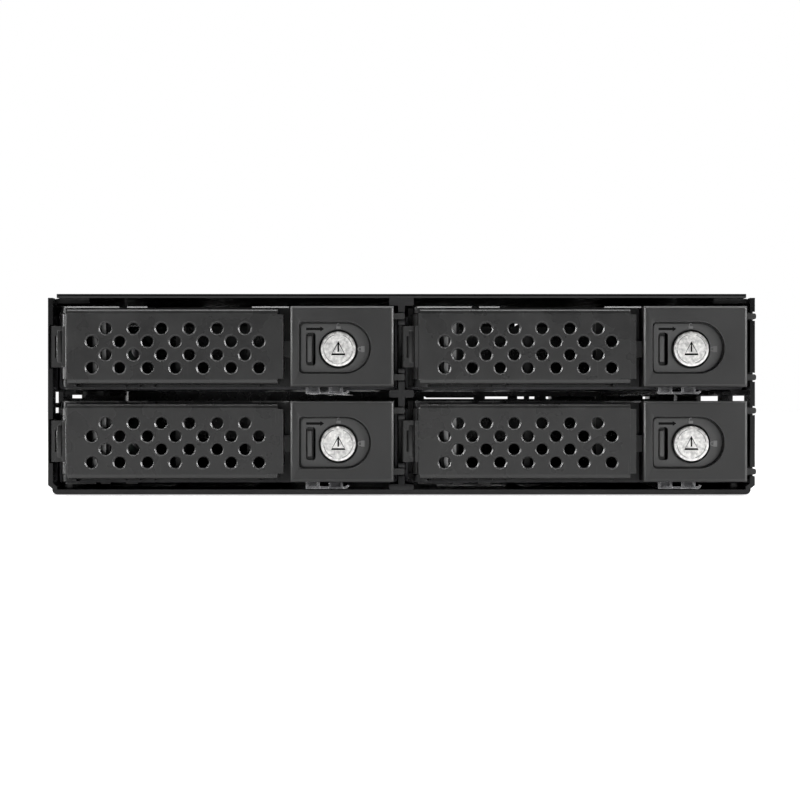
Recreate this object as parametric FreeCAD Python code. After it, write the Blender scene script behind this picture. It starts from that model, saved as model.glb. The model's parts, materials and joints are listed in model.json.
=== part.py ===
import FreeCAD, Part

# Hot swap drive cage: four trays for 2.5 inch drives in the space of one 5.25 inch bay.
# Millimetres. +X right, +Z up, and the front with its levers and locks faces -Y.
# Pieces are drawn with y = 0 at the front edge of the steel pan, and are moved as the last step
# so that the origin is the centre of the underside of the whole cage.

import math
import os

Vector = FreeCAD.Vector
AXES = {"x": Vector(1, 0, 0), "y": Vector(0, 1, 0), "z": Vector(0, 0, 1)}

# ---------------------------------------------------------------- drive and bay
drive_width = 69.85
drive_length = 100.2
drive_height = 15.0
drive_side_play = 0.05
drive_end_play = 0.3
carrier_sheet = 0.5
carrier_bend = 0.7              # outer radius
bay_side_play = 0.2            # carrier to wall, each side
slide_play = 0.1                # carrier to the rails it runs on
seat_play = 0.05                # between pieces that are pushed together
fit_play = 0.1                  # between sheet pieces that are screwed together
weld = 0.2                      # how far the forms of one moulding run into each other
mould_round = 0.6               # corners of small mouldings

# ---------------------------------------------------------------- steel pan, cover, divider
pan_sheet = 1.0
pan_depth = 155.0
corner_bend = 1.0               # outer radius of the folded lower edges
corner_step = 0.9               # the folded edges stand in from the walls by this
step_low = 1.2                  # outer heights between which the walls step out
step_high = 1.9
step_shift = 0.4                # the step's inner line stands this much higher
step_bend = 0.3
top_bend = 1.4
top_flange = 8.0
relief_length = 3.0             # the walls' square front corners, ahead of the top flanges
relief_slot = 0.8
cover_sheet = 0.8
cover_setback = 1.8
divider_web = 1.3
bead_play = 0.1                 # carrier to the thickened front edge of the divider
bead_depth = 2.0
arm_reach = 1.9                 # rail arms, beyond the web
arm_height = 1.6
arm_round = 0.4
divider_depth = 112.0
divider_slot_start = 14.0
divider_slot_pitch = 20.0
divider_slot_length = 14.0
divider_slot_height = 6.0
divider_slots = 5
ledge_reach = 2.5               # tabs on the side walls that the upper carriers run on
left_ledges = ((15.5, 25.5), (58.0, 70.0), (90.0, 102.0))
right_ledges = ((10.0, 22.0), (32.0, 44.0), (60.0, 72.0), (90.0, 102.0))
left_openings = ((4.0, 14.0, 18.9, 21.2), (4.0, 14.0, 16.8, 17.9), (27.0, 48.0, 19.9, 21.4))
right_openings = ((8.0, 30.0, 19.0, 20.4), (46.0, 81.0, 19.0, 20.4))
runner_height = 1.2             # pan floor to the underside of a lower carrier
runner_width = 2.4
runner_inset = 1.0              # from the wall to the pressed runner
runner_sheet = 0.8
runner_start = 6.0
runner_gap = 5.0                # kept free round the mounting holes
carrier_window_start = 26.0
carrier_window_pitch = 17.0
carrier_window_length = 12.0
carrier_window_width = 15.0
carrier_window_centres = (-21.0, -3.0)
carrier_window_rows = 4
carrier_side_window = (0.0, 4.0)
carrier_wall_drop = 1.8         # carrier wall below the top edge of the tray front
carrier_ear_drop = 0.3
carrier_ear_length = 12.0

# ---------------------------------------------------------------- tray front, heights and depths
front_height = 16.6
carrier_drop = 0.5              # carrier underside below the bottom edge of the tray front
tier_gap = 2.4                  # lower tray front to the carrier above it
head_gap = 1.8                  # upper tray front to the cover
frame_front = 4.0
frame_step = 8.0                # behind here the frame is inside the carrier
frame_back = 13.0
frame_rail = 1.4
mullion = 1.2
mullion_pitch = 14.9
mullion_first = 7.5             # first bar from the lever's left edge
mullion_count = 3
hinge_wall_start = 4.4          # frame wall beside the hinge, from the lever's left edge
frame_gap = 0.25                # frame to lock housing
edge_notch_centres = (-20.7, -17.7, -14.7, 7.3)
edge_notch_width = 0.8
edge_notch_height = 0.6
snap_heights = (-4.0, 2.5)
snap_radius = 1.4
window_height = 12.4

# ---------------------------------------------------------------- lever
lever_face = -1.5
lever_sheet = 0.8
lever_gap = 1.475               # lever to lock housing
lever_edge = 0.275              # lever's left edge beyond the pin's middle
lever_height = 15.6
lever_flange = 3.6
lever_bend = 1.0
lever_notch = 1.2
hole_diameter = 2.3
hole_pitch = 5.74
hole_row_pitch = 2.7
hole_rows = (6, 7, 6, 7)        # from the top
keeper_height = 9.0
keeper_margin = 1.0             # keeper sheet behind its slot
lever_flange_start = 2.8        # folded flanges begin this far from the pin
pin_diameter = 1.6
pin_play = 0.05
pin_from_wall = 3.45
pin_y = 1.2
ear_wall = 0.9
ear_play = 0.2
tongue_height = 8.5
tongue_thickness = 2.6
tongue_front = 1.0              # tongue's face ahead of the pin
tongue_round = 0.5
tongue_depth_in_wall = 0.6
recess_play = 0.15              # beyond the tongue's tip, in the recess of the outer wall
arm_web = 2.6
arm_web_thickness = 1.2
lip_width = 0.95
lip_setback = 0.2               # lip behind the lever's face
recess_edge = 2.0               # tongue left whole round its recess, at the top and bottom
recess_floor = 1.2              # depth of the recess below the tongue's face
notch_play = 0.3
notch_depth = 4.4

# ---------------------------------------------------------------- lock housing and its mechanism
housing_face = -2.5
housing_width = 21.25
housing_right_gap = 0.95        # from the housing to the bay wall
housing_wall = 1.2
housing_back = 10.0
housing_chamfer = 0.45
pocket_margin = 1.8
pocket_length = 14.8
pocket_height = 10.7
pocket_depth = 1.8
pocket_floor = 1.2
pocket_drop = 0.25
pocket_corner = 0.8
lock_from_left = 9.85
lock_drop = 0.5
lock_diameter = 7.2
lock_ring = 0.45                # dark gap round the head
lock_recess = 0.6               # head below the housing face
lock_body = 6.0
lock_play = 0.06
sleeve_wall = 1.15
sleeve_end = 6.6
tang = 3.2
cam_sheet = 1.2
cam_reach = 5.4
cam_width = 3.0
cam_gap = 0.2
cam_play = 0.3                  # cam behind the end of the sleeve
cam_hub = 2.56                  # radius
peen_height = 0.4
peen_lip = 0.6
head_chamfer = 0.3
slot_from_left = 4.15
slot_width = 2.0
slot_height = 6.8
thumb_width = 1.1
thumb_height = 5.5
slider_travel = 0.7
slider_thickness = 1.8
bolt_height = 3.4
bolt_thickness = 1.7
bolt_play = 0.2
bolt_catch = 0.6                # how far the bolt reaches past the edge of the lever
lug_size = 1.25
lug_reach = 1.35                # beyond the bay's wall face
lug_round = 0.5
lug_root = 0.3                  # lugs start this far inside the housing
slot_round = 0.6
lug_spacing = 12.6
lug_front = 0.6
lug_length = 2.0
leaf_sheet = 0.3
leaf_space = 5.4                # slider's edge to the post that the spring pushes on
guide_play = 0.15
guide_rib = 0.8
guide_hook = 1.0
post_beyond_hook = 2.5          # spring post behind the guide hooks
slider_edge_play = 0.4
slider_below_lock = 3.7
slider_round = 0.5
thumb_out = 0.7                 # thumb bar in front of the pocket's floor
thumb_edge_play = 0.1
bolt_from_slider_face = 0.4
bolt_chamfer = 0.5
spring_play = 0.02
spring_leg = 1.6                # from the spring's ends to its bend
spring_inset = 0.5              # spring behind the slider's face
spring_below = 0.3              # spring under the slider's upper edge
leg_sheet = 1.2
leg_half = 1.8
ring_groove_inner = 2.85
ring_groove_outer = 3.25
ring_groove_depth = 0.25
pointer_half = 0.3
pointer_depth = 0.4
pointer_start = 2.3
keyway_half = 1.6
keyway_height = 2.9
keyway_depth = 1.4
post_half = 0.8
post_height = 1.5
post_depth = 0.4                # post's face below the head's face

# ---------------------------------------------------------------- light pipes
pipe_width = 2.7
pipe_pitch = 4.75
pipe_from_left = 3.2
pipe_thickness = 1.0
pipe_front = -1.0
pipe_head = 4.5
pipe_bridge = 0.6               # height of the bridges between the two bars
pipe_round = 0.3
pipe_bridge_length = 3.0
pipe_bridge_from_end = 8.0
led_width = 1.6
led_drop = 0.1                  # lamps below the carrier
led_height = 0.8
led_gap = 0.3

# ---------------------------------------------------------------- backplane
connector_depth = 8.0
connector_width = 33.6
connector_height = 5.6
connector_nose = 2.5
connector_offset = -11.2        # centre of the connector from the middle of the tray
board_thickness = 1.6
board_side_play = 0.4
board_end_play = 0.8
connector_rise = 0.9            # above the carrier's floor
connector_rim = 1.6
nose_rim = 0.9
contact_rim = 1.4
contact_bar = 1.0               # half the bar between the two contact slots
contact_rise = 2.1
contact_slot = 1.3
contact_slot_depth = 5.0
vent_starts = (6.0, 22.0, 38.0, 54.0)
vent_width = 13.0
vent_heights = (15.6, 18.8)
tier_slot_heights = (19.8, 20.4)
port_depth = 8.5
data_port_width = 14.5
power_port_width = 23.0
port_height = 5.2
port_slot = 2.6
port_x = 13.5
port_rim = 1.8
port_slot_depth = 6.0
port_key_width = 1.2
port_key_depth = 0.8
port_tongue = 0.9
port_tongue_setback = 0.6
data_port_heights = (2.0, 11.0) # above the fans' middle
power_port_height = -9.0
tab_reach = 7.5
tab_height = 6.0
tab_round = 1.0
screw_inset = 4.0               # board screws from the side wall

# ---------------------------------------------------------------- fans
fan_size = 40.0
fan_depth = 10.0
fan_rim = 1.7                   # thinnest wall beside the duct
fan_corner = 3.0
fan_hole_inset = 4.0
fan_front_play = 0.6            # bracket to rotor
fan_bush = 2.4
bush_length = 1.0
hub_chamfer = 1.0
blade_root_share = 0.86         # chord at the hub against the chord at the tip
fan_screw_beyond = 0.6          # screw ends beyond the bracket
fan_shaft = 1.0
fan_from_side = 22.5            # fan centre from the outside of the side wall
bracket_sheet = 1.0
bracket_flange = 14.0
bracket_overhang = 1.0
flange_inset = 1.5
bracket_corner = 2.5            # clears the stepped corner of the pan
blade_count = 7
blade_play = 1.8                # middle of a blade's tip to the duct
blade_chord = 9.0
blade_thickness = 0.8
blade_pitch = 32.0              # degrees
rotor_hub = 9.0
rotor_depth = 6.8
strut_width = 2.0
strut_depth = 1.4
strut_turn = 20.0               # degrees
guard_first = 7.5               # inner radius of the first ring slot
guard_slot = 3.0
guard_wire = 1.5
guard_spoke = 2.6

# ---------------------------------------------------------------- fasteners and mounting holes
screw_shank = 2.9
screw_head = 5.2
screw_sink = 1.3
screw_length = 2.0
screw_play = 0.05
m3_hole = 2.5                   # tapped hole in sheet
mount_front = 52.3
mount_spacing_y = 79.25
mount_low = 10.0
mount_spacing_z = 11.84
mount_spacing_x = 139.7
drive_screw_x = 61.72
drive_screw_back = 14.0
drive_screw_front = 90.6
drive_screw_hole = 3.2
drive_side_screw_z = 3.0
drive_clearance = 0.5           # drive above the carrier's floor
cover_screw_front = 12.0
cover_screw_back = 10.0
divider_screw_front = 20.0
divider_screw_back = 15.0
tier_screw_offset = 2.0         # screw rows from the middles of the two tiers
board_screw_head = 1.8
hidden = 0.4                    # how far a cutter runs past the face it opens

# ---------------------------------------------------------------- worked out from the above
carrier_half = drive_width / 2 + drive_side_play + carrier_sheet
bay_half = carrier_half + bay_side_play
half_width = divider_web / 2 + 2 * bay_half + pan_sheet
tray_x = divider_web / 2 + bay_half
front_half = front_height / 2
low_z = pan_sheet + runner_height + carrier_drop + front_half
tray_pitch_z = front_height + carrier_drop + tier_gap
cover_under = low_z + tray_pitch_z + front_half + head_gap
cage_height = cover_under + cover_sheet
wall_in = half_width - pan_sheet
carrier_under = -front_half - carrier_drop
rail_top = carrier_under - slide_play
drive_start = frame_back + 0.5
drive_end = drive_start + drive_length
board_front = drive_end + drive_end_play + connector_depth
board_back = board_front + board_thickness
board_low = pan_sheet + board_end_play
board_high = cover_under - pan_sheet - board_end_play
rear_face = pan_depth + fan_depth
fan_x = half_width - fan_from_side
fan_z = cage_height / 2
middle_y = (housing_face + rear_face) / 2

pin_x = -bay_half + pin_from_wall
lever_left = pin_x - lever_edge
housing_right = bay_half - housing_right_gap
housing_left = housing_right - housing_width
lever_right = housing_left - lever_gap
pocket_left = housing_left + pocket_margin
pocket_right = pocket_left + pocket_length
pocket_back = housing_face + pocket_depth
wall_back = pocket_back + pocket_floor
lock_x = housing_left + lock_from_left
lock_z = -lock_drop
slot_x = housing_left + slot_from_left
pipe_left = housing_left + pipe_from_left
pipe_low = carrier_under - pipe_thickness
screw_z_low = low_z - tier_screw_offset
screw_z_high = low_z + tray_pitch_z + tier_screw_offset
board_screw_x = wall_in - screw_inset
runner_top = low_z + rail_top
ledge_top = low_z + tray_pitch_z + rail_top
fan_bore = fan_size - 2 * fan_rim
fan_hole_spacing = fan_size - 2 * fan_hole_inset
blade_tip = fan_bore / 2 - blade_play
ear_radius = pin_diameter / 2 + ear_wall
snap_y = (frame_step + frame_back) / 2
slider_front = wall_back + guide_play
slider_back = slider_front + slider_thickness
slider_low = lock_z - slider_below_lock
slider_high = front_half - housing_wall - guide_rib
slider_left = housing_left + housing_wall + slider_edge_play
slider_right = lock_x - lock_body / 2 - lock_play - sleeve_wall - slider_travel - 2 * guide_play
bolt_front = slider_front + bolt_from_slider_face
leaf_stop = slider_right + leaf_space
leaf_low = lock_z + lock_body / 2 + lock_play + sleeve_wall + slider_edge_play
cam_front = sleeve_end + cam_play
cam_back = cam_front + cam_sheet
tray_places = [(-tray_x, low_z + tray_pitch_z), (tray_x, low_z + tray_pitch_z),
               (-tray_x, low_z), (tray_x, low_z)]


# ---------------------------------------------------------------- small helpers
def box(x0, x1, y0, y1, z0, z1):
    return Part.makeBox(x1 - x0, y1 - y0, z1 - z0, Vector(x0, y0, z0))


def rod(radius, x, y, z, length, axis):
    return Part.makeCylinder(radius, length, Vector(x, y, z), AXES[axis])


def joined(shapes):
    return shapes[0].multiFuse(shapes[1:]).removeSplitter()


def along(edge, axis):
    if not isinstance(edge.Curve, Part.Line):
        return False
    return abs(abs(edge.tangentAt(edge.FirstParameter).dot(AXES[axis])) - 1) < 1e-6


def rounded(solid, radius, axis, where=lambda point: True):
    """Fillets the straight edges that run along one axis and lie where the test says."""
    edges = [edge for edge in solid.Edges if along(edge, axis) and where(edge.CenterOfMass)]
    return solid.makeFillet(radius, edges)


def soft_box(x0, x1, y0, y1, z0, z1, radius, axis):
    return rounded(box(x0, x1, y0, y1, z0, z1), radius, axis)


def both_sides(solid):
    """The solid and its mirror image in the middle plane of the cage."""
    return [solid, solid.mirror(Vector(0, 0, 0), Vector(1, 0, 0))]


def countersunk_screw(place, direction, length, play=0.0):
    """A flat headed screw, with its head's face at place and its shank along direction."""
    head = Part.makeCone(screw_head / 2 + play, screw_shank / 2 + play, screw_sink, place, direction)
    shank = Part.makeCylinder(screw_shank / 2 + play, length + play, place, direction)
    return head.fuse(shank).removeSplitter()


# ---------------------------------------------------------------- where the case screws go
def case_screw_places():
    """Place and direction of each countersunk screw that holds the sheet parts together."""
    places = []
    flange_x = half_width - top_flange / 2
    for y in (cover_screw_front, pan_depth / 2, pan_depth - cover_screw_back):
        for x in (-flange_x, flange_x):
            places.append((Vector(x, y, cage_height), Vector(0, 0, -1)))
    for y in (divider_screw_front, divider_depth - divider_screw_back):
        places.append((Vector(0, y, cage_height), Vector(0, 0, -1)))
        places.append((Vector(0, y, 0), Vector(0, 0, 1)))
    for z in (screw_z_low, screw_z_high):
        for side in (-1, 1):
            place = Vector(side * half_width, pan_depth - bracket_flange / 2, z)
            places.append((place, Vector(-side, 0, 0)))
    return places


def case_screw_tools():
    return [countersunk_screw(place, way, screw_length, screw_play)
            for place, way in case_screw_places()]


def case_screws():
    return [countersunk_screw(place, way, screw_length) for place, way in case_screw_places()]


# ---------------------------------------------------------------- steel pan with walls and flanges
def pan_prism(half, floor, low, high, top, y0, y1):
    """A prism along y between upright walls that step in above the folded edges of the floor."""
    right = [(half - corner_step, floor), (half - corner_step, low), (half, high), (half, top)]
    outline = right + [(-x, z) for x, z in reversed(right)]
    corners = [Vector(x, y0, z) for x, z in outline]
    return Part.Face(Part.makePolygon(corners + corners[:1])).extrude(Vector(0, y1 - y0, 0))


def chassis_pan():
    outer = pan_prism(half_width, 0, step_low, step_high, cover_under, 0, pan_depth)
    outer = rounded(outer, corner_bend, "y", lambda p: p.z < pan_sheet / 2)
    outer = rounded(outer, step_bend, "y", lambda p: pan_sheet < p.z < 2 * step_high)
    outer = rounded(outer, top_bend, "y", lambda p: p.z > cover_under - pan_sheet)
    inner = pan_prism(wall_in, pan_sheet, step_low + step_shift, step_high + step_shift,
                      cover_under - pan_sheet, -1, pan_depth + 1)
    inner = rounded(inner, top_bend - pan_sheet, "y", lambda p: p.z > cover_under - 2 * pan_sheet)
    mouth_half = half_width - top_flange
    mouth = box(-mouth_half, mouth_half, -1, pan_depth + 1, cover_under - pan_sheet - 1, cover_under + 1)
    relief_low = cover_under - top_bend - hidden
    relief = box(-half_width - 1, half_width + 1, -1, relief_length + relief_slot,
                 relief_low, cover_under + 1)
    corners = both_sides(box(wall_in, half_width, 0, relief_length, relief_low - hidden, cover_under))
    pan = outer.cut([inner, mouth, relief])
    return pan.multiFuse(corners + ledges() + board_tabs()).cut(
        wall_openings() + tongue_recesses() + lug_notches(half_width)
        + tab_windows() + mounting_holes() + runner_hollows()).fuse(
        runners()).removeSplitter().cut(case_screw_tools())


def ledges():
    """Tabs on the walls, on which the upper carriers run."""
    found = []
    for side, spans in ((-1, left_ledges), (1, right_ledges)):
        for y0, y1 in spans:
            x0, x1 = sorted((side * (wall_in - ledge_reach), side * (wall_in + pan_sheet / 2)))
            found.append(box(x0, x1, y0, y1, ledge_top - pan_sheet, ledge_top))
    return found


def wall_openings():
    """Air openings in the two walls, between the tiers."""
    found = []
    for side, spans in ((-1, left_openings), (1, right_openings)):
        x0, x1 = sorted((side * (wall_in - hidden), side * (half_width + hidden)))
        found += [box(x0, x1, y0, y1, z0, z1) for y0, y1, z0, z1 in spans]
    return found


def tongue_span(z):
    """Lowest and highest point that a lever tongue leaves free at one tier."""
    half = tongue_height / 2 + notch_play
    return z - half, z + half


def tongue_recesses():
    """Blind recesses in the left wall, open to the front, for the lever tongues."""
    deep = wall_in + tongue_depth_in_wall + recess_play
    return [box(-deep, -wall_in + hidden, -1, notch_depth, *tongue_span(z))
            for z in (low_z, low_z + tray_pitch_z)]


def tongue_notches(x):
    """Open notches through the front edge of the divider for the lever tongues."""
    return [box(x - 2 * pan_sheet, x + 2 * pan_sheet, -1, notch_depth, *tongue_span(z))
            for z in (low_z, low_z + tray_pitch_z)]


def lug_notches(x):
    """Open notches in the front edge of a wall that the locating lugs seat in."""
    half = lug_size / 2 + notch_play
    depth = lug_front + lug_length + notch_play
    return [box(x - 2 * pan_sheet, x + 2 * pan_sheet, -1, depth, z + offset - half, z + offset + half)
            for z in (low_z, low_z + tray_pitch_z) for offset in (-lug_spacing / 2, lug_spacing / 2)]


def runner_places():
    """Left, right, front and back of each stretch of runner, clear of the mounting holes."""
    right = wall_in - runner_inset
    spans = [(runner_start, mount_front - runner_gap), (mount_front + runner_gap, divider_depth)]
    return [(right - runner_width, right, y0, y1) for y0, y1 in spans]


def runner_hollow(x0, x1, y0, y1):
    return box(x0 + runner_sheet, x1 - runner_sheet, y0 + runner_sheet, y1 - runner_sheet,
               -hidden, runner_top - runner_sheet)


def runners():
    """Ribs pressed up out of the floor, on which the lower carriers run."""
    found = []
    for x0, x1, y0, y1 in runner_places():
        rib = rounded(box(x0, x1, y0, y1, pan_sheet, runner_top), runner_width / 3, "z")
        found += both_sides(rib.cut(runner_hollow(x0, x1, y0, y1)))
    return found


def runner_hollows():
    found = []
    for place in runner_places():
        found += both_sides(runner_hollow(*place))
    return found


def board_tabs():
    """Tabs folded in from the walls behind the backplane, with its screw holes."""
    found = []
    for z in (screw_z_low, screw_z_high):
        tab = box(wall_in - tab_reach, wall_in + pan_sheet / 2, board_back, board_back + pan_sheet,
                  z - tab_height / 2, z + tab_height / 2)
        tab = rounded(tab, tab_round, "y", lambda p: p.x < wall_in - tab_reach / 2)
        hole = rod(screw_shank / 2 + screw_play, board_screw_x, board_back - 1, z, pan_sheet + 2, "y")
        found += both_sides(tab.cut(hole))
    return found


def tab_windows():
    """Where the metal of the board tabs was cut out of the walls."""
    found = []
    for z in (screw_z_low, screw_z_high):
        found += both_sides(box(wall_in - hidden, half_width + hidden, board_back - tab_reach, board_back,
                                z - tab_height / 2, z + tab_height / 2))
    return found


def mounting_holes():
    """Tapped holes of the 5.25 inch bay: two rows in each side and four in the floor."""
    radius = m3_hole / 2
    found = []
    for y in (mount_front, mount_front + mount_spacing_y):
        for z in (mount_low, mount_low + mount_spacing_z):
            found += both_sides(rod(radius, wall_in - 1, y, z, pan_sheet + 2, "x"))
        found += both_sides(rod(radius, mount_spacing_x / 2, y, -1, pan_sheet + 2, "z"))
    return found


def top_cover():
    edge = half_width - cover_setback
    return box(-edge, edge, 0, pan_depth, cover_under, cage_height).cut(case_screw_tools())


# ---------------------------------------------------------------- divider between the two columns
def centre_divider():
    foot = pan_sheet
    web = box(-divider_web / 2, divider_web / 2, 0, divider_depth, foot, cover_under)
    bead_half = divider_web / 2 + bay_side_play - bead_play
    bead = soft_box(-bead_half, bead_half, 0, bead_depth, foot, cover_under, 0.4, "z")
    reach = divider_web / 2 + arm_reach
    arms = [box(-reach, reach, 0, divider_depth, foot, runner_top),
            box(-reach, reach, 0, divider_depth, ledge_top - arm_height, ledge_top),
            box(-reach, reach, 0, divider_depth, cover_under - arm_height, cover_under)]
    arms = [rounded(arm, arm_round, "y") for arm in arms]
    slots = []
    for z in (low_z, low_z + tray_pitch_z):
        for i in range(divider_slots):
            y = divider_slot_start + i * divider_slot_pitch
            slots.append(box(-divider_web, divider_web, y, y + divider_slot_length,
                             z - divider_slot_height / 2, z + divider_slot_height / 2))
    divider = joined([web, bead] + arms)
    return divider.cut(slots + tongue_notches(0) + lug_notches(0) + case_screw_tools())


# ---------------------------------------------------------------- tray: sheet carrier
def carrier():
    inside = carrier_half - carrier_sheet
    back = drive_end - slide_play
    top = front_half - carrier_wall_drop
    ear_top = front_half - carrier_ear_drop
    floor = carrier_under + carrier_sheet
    outer = box(-carrier_half, carrier_half, frame_step, back, carrier_under, top)
    outer = rounded(outer, carrier_bend, "y", lambda p: p.z < carrier_under + 0.1)
    hollow = box(-inside, inside, frame_step - 1, back + 1, floor, top + 1)
    hollow = rounded(hollow, carrier_bend - carrier_sheet, "y", lambda p: p.z < floor + 0.1)
    ears = both_sides(box(inside, carrier_half, back - carrier_ear_length, back, top - 1, ear_top))
    tray = outer.cut(hollow).multiFuse(ears).removeSplitter()
    return tray.cut(carrier_windows() + carrier_holes())


def carrier_windows():
    """Cooling windows in the floor and the walls."""
    found = []
    half = carrier_window_width / 2
    low, high = carrier_side_window
    for i in range(carrier_window_rows):
        y0 = carrier_window_start + i * carrier_window_pitch
        y1 = y0 + carrier_window_length
        for x in carrier_window_centres:
            found.append(box(x - half, x + half, y0, y1,
                             carrier_under - 1, carrier_under + carrier_sheet + 1))
        found.append(box(-carrier_half - 1, carrier_half + 1, y0, y1, low, high))
    return found


def carrier_holes():
    """Drive screw holes in the floor and walls, and the holes that the frame snaps into."""
    found = []
    drive_floor = carrier_under + carrier_sheet + drive_clearance
    for back in (drive_screw_back, drive_screw_front):
        y = drive_end - back
        found += both_sides(rod(drive_screw_hole / 2, drive_screw_x / 2, y, carrier_under - 1,
                                carrier_sheet + 2, "z"))
        found.append(rod(drive_screw_hole / 2, -carrier_half - 1, y, drive_floor + drive_side_screw_z,
                         2 * carrier_half + 2, "x"))
    for z in snap_heights:
        found.append(rod(snap_radius + seat_play, -carrier_half - 1, snap_y, z,
                         2 * carrier_half + 2, "x"))
    return found


# ---------------------------------------------------------------- tray: moulded front frame
def front_frame():
    inside = carrier_half - carrier_sheet - seat_play
    low = carrier_under + carrier_sheet + seat_play
    right = housing_left - frame_gap
    wall_x = right - frame_rail
    hinge_wall = lever_left + hinge_wall_start
    tool_front = frame_front - 1
    notch_back = frame_front + 2
    window_half = window_height / 2
    front = box(pin_x - ear_radius, right, frame_front, frame_step, -front_half, front_half)
    rear = box(-inside, inside, frame_step, frame_back, low, front_half)
    rear = rounded(rear, carrier_bend, "y", lambda p: p.z < 0)
    ears = [hinge_ear(front_half - frame_rail), hinge_ear(-front_half)]
    snaps = [rod(snap_radius, -carrier_half, snap_y, z, 2 * carrier_half, "x")
             for z in snap_heights]
    frame = joined([front, rear] + ears + snaps)
    lever_space = box(-bay_half, hinge_wall, -1, housing_back, -front_half + frame_rail,
                      front_half - frame_rail)
    lock_space = box(right, bay_half, -5, housing_back, -front_half - 1, front_half + 1)
    tools = [lever_space, lock_space]
    edges = [hinge_wall + mullion]
    for centre in mullion_centres():
        edges += [centre - mullion / 2, centre + mullion / 2]
    edges.append(wall_x)
    for left, far in zip(edges[0::2], edges[1::2]):
        tools.append(box(left, far, tool_front, frame_back + 1, -window_half, window_half))
    for centre in edge_notch_centres:
        x0 = centre - edge_notch_width / 2
        x1 = centre + edge_notch_width / 2
        tools.append(box(x0, x1, tool_front, notch_back, front_half - edge_notch_height, front_half + 1))
        tools.append(box(x0, x1, tool_front, notch_back, -front_half - 1, -front_half + edge_notch_height))
    for z in (-front_half, front_half - frame_rail):
        tools.append(rod(pin_diameter / 2, pin_x, pin_y, z - 0.01, frame_rail + 0.02, "z"))
    return frame.cut(tools)


def mullion_centres():
    first = lever_left + mullion_first
    return [first + i * mullion_pitch for i in range(mullion_count)]


def hinge_ear(z):
    nose = rod(ear_radius, pin_x, pin_y, z, frame_rail, "z")
    root = box(pin_x - ear_radius, pin_x + ear_radius, pin_y, frame_front + 1, z, z + frame_rail)
    return nose.fuse(root)


def hinge_pin():
    return rod(pin_diameter / 2, pin_x, pin_y, -front_half, front_height, "z")


# ---------------------------------------------------------------- tray: perforated lever
def lever_plate():
    half = lever_height / 2
    back = lever_face + lever_sheet
    flange_left = pin_x + lever_flange_start
    outer = box(lever_left, lever_right, lever_face, lever_face + lever_flange, -half, half)
    outer = rounded(outer, lever_bend, "x", lambda p: p.y < lever_face + 0.1)
    hollow = box(lever_left - 1, lever_right + 1, back, lever_face + lever_flange + 1,
                 -half + lever_sheet, half - lever_sheet)
    hollow = rounded(hollow, lever_bend - lever_sheet, "x", lambda p: p.y < back + 0.1)
    plate = outer.cut(hollow)
    tools = [box(lever_left - 1, flange_left, back, 10, -half - 1, half + 1)]
    for z0, z1 in ((half - lever_notch, half + 1), (-half - 1, -half + lever_notch)):
        tools.append(box(lever_right - lever_notch, lever_right + 1, lever_face - 1, 10, z0, z1))
    keeper = box(lever_right - lever_sheet, lever_right, lever_face + lever_sheet / 2,
                 bolt_front + bolt_thickness + bolt_play + keeper_margin,
                 -keeper_height / 2, keeper_height / 2)
    keeper_slot = box(lever_right - 2, lever_right + 1, bolt_front - bolt_play,
                      bolt_front + bolt_thickness + bolt_play,
                      lock_z - bolt_height / 2 - bolt_play, lock_z + bolt_height / 2 + bolt_play)
    return plate.cut(tools).fuse(keeper).removeSplitter().cut([keeper_slot] + perforations())


def perforations():
    centre = (lever_left + lever_right) / 2
    top = (len(hole_rows) - 1) * hole_row_pitch / 2
    found = []
    for row, count in enumerate(hole_rows):
        for i in range(count):
            x = centre + (i - (count - 1) / 2) * hole_pitch
            found.append(rod(hole_diameter / 2, x, lever_face - 1, top - row * hole_row_pitch,
                             lever_sheet + 2, "y"))
    return found


def lever_arm():
    """Cast block at the pivot: a barrel on the pin, and the tongue that works in the wall's notch."""
    half = front_half - frame_rail - ear_play
    back = lever_face + lever_sheet
    tip = -bay_half - tongue_depth_in_wall
    barrel = rod(pin_y - back, pin_x, pin_y, -half, 2 * half, "z")
    web = box(pin_x, pin_x + arm_web, back, back + arm_web_thickness, -half, half)
    tongue = box(tip, pin_x, pin_y - tongue_front, pin_y - tongue_front + tongue_thickness,
                 -tongue_height / 2, tongue_height / 2)
    tongue = rounded(tongue, tongue_round, "z", lambda p: p.x < tip + tongue_round)
    lip = soft_box(lever_left - seat_play - lip_width, lever_left - seat_play,
                   lever_face + lip_setback, pin_y, -tongue_height / 2, tongue_height / 2, lip_width / 3, "y")
    recess_half = tongue_height / 2 - recess_edge
    recess = box(tip + 1.0, lever_left - 1.5, pin_y - tongue_front - 1.5,
                 pin_y - tongue_front + recess_floor, -recess_half, recess_half)
    bore = rod(pin_diameter / 2 + pin_play, pin_x, pin_y, -half - 1, 2 * half + 2, "z")
    return joined([barrel, web, tongue, lip]).cut([recess, bore])


# ---------------------------------------------------------------- tray: lock housing
def d_shape(left, right, height, z, y0, y1, corner):
    """A prism with square left corners, slightly rounded, and a half round right end."""
    radius = height / 2
    body = box(left, right - radius, y0, y1, z - radius, z + radius)
    body = rounded(body, corner, "y", lambda p: p.x < left + 0.1)
    return body.fuse(rod(radius, right - radius, y0, z, y1 - y0, "y")).removeSplitter()


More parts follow.
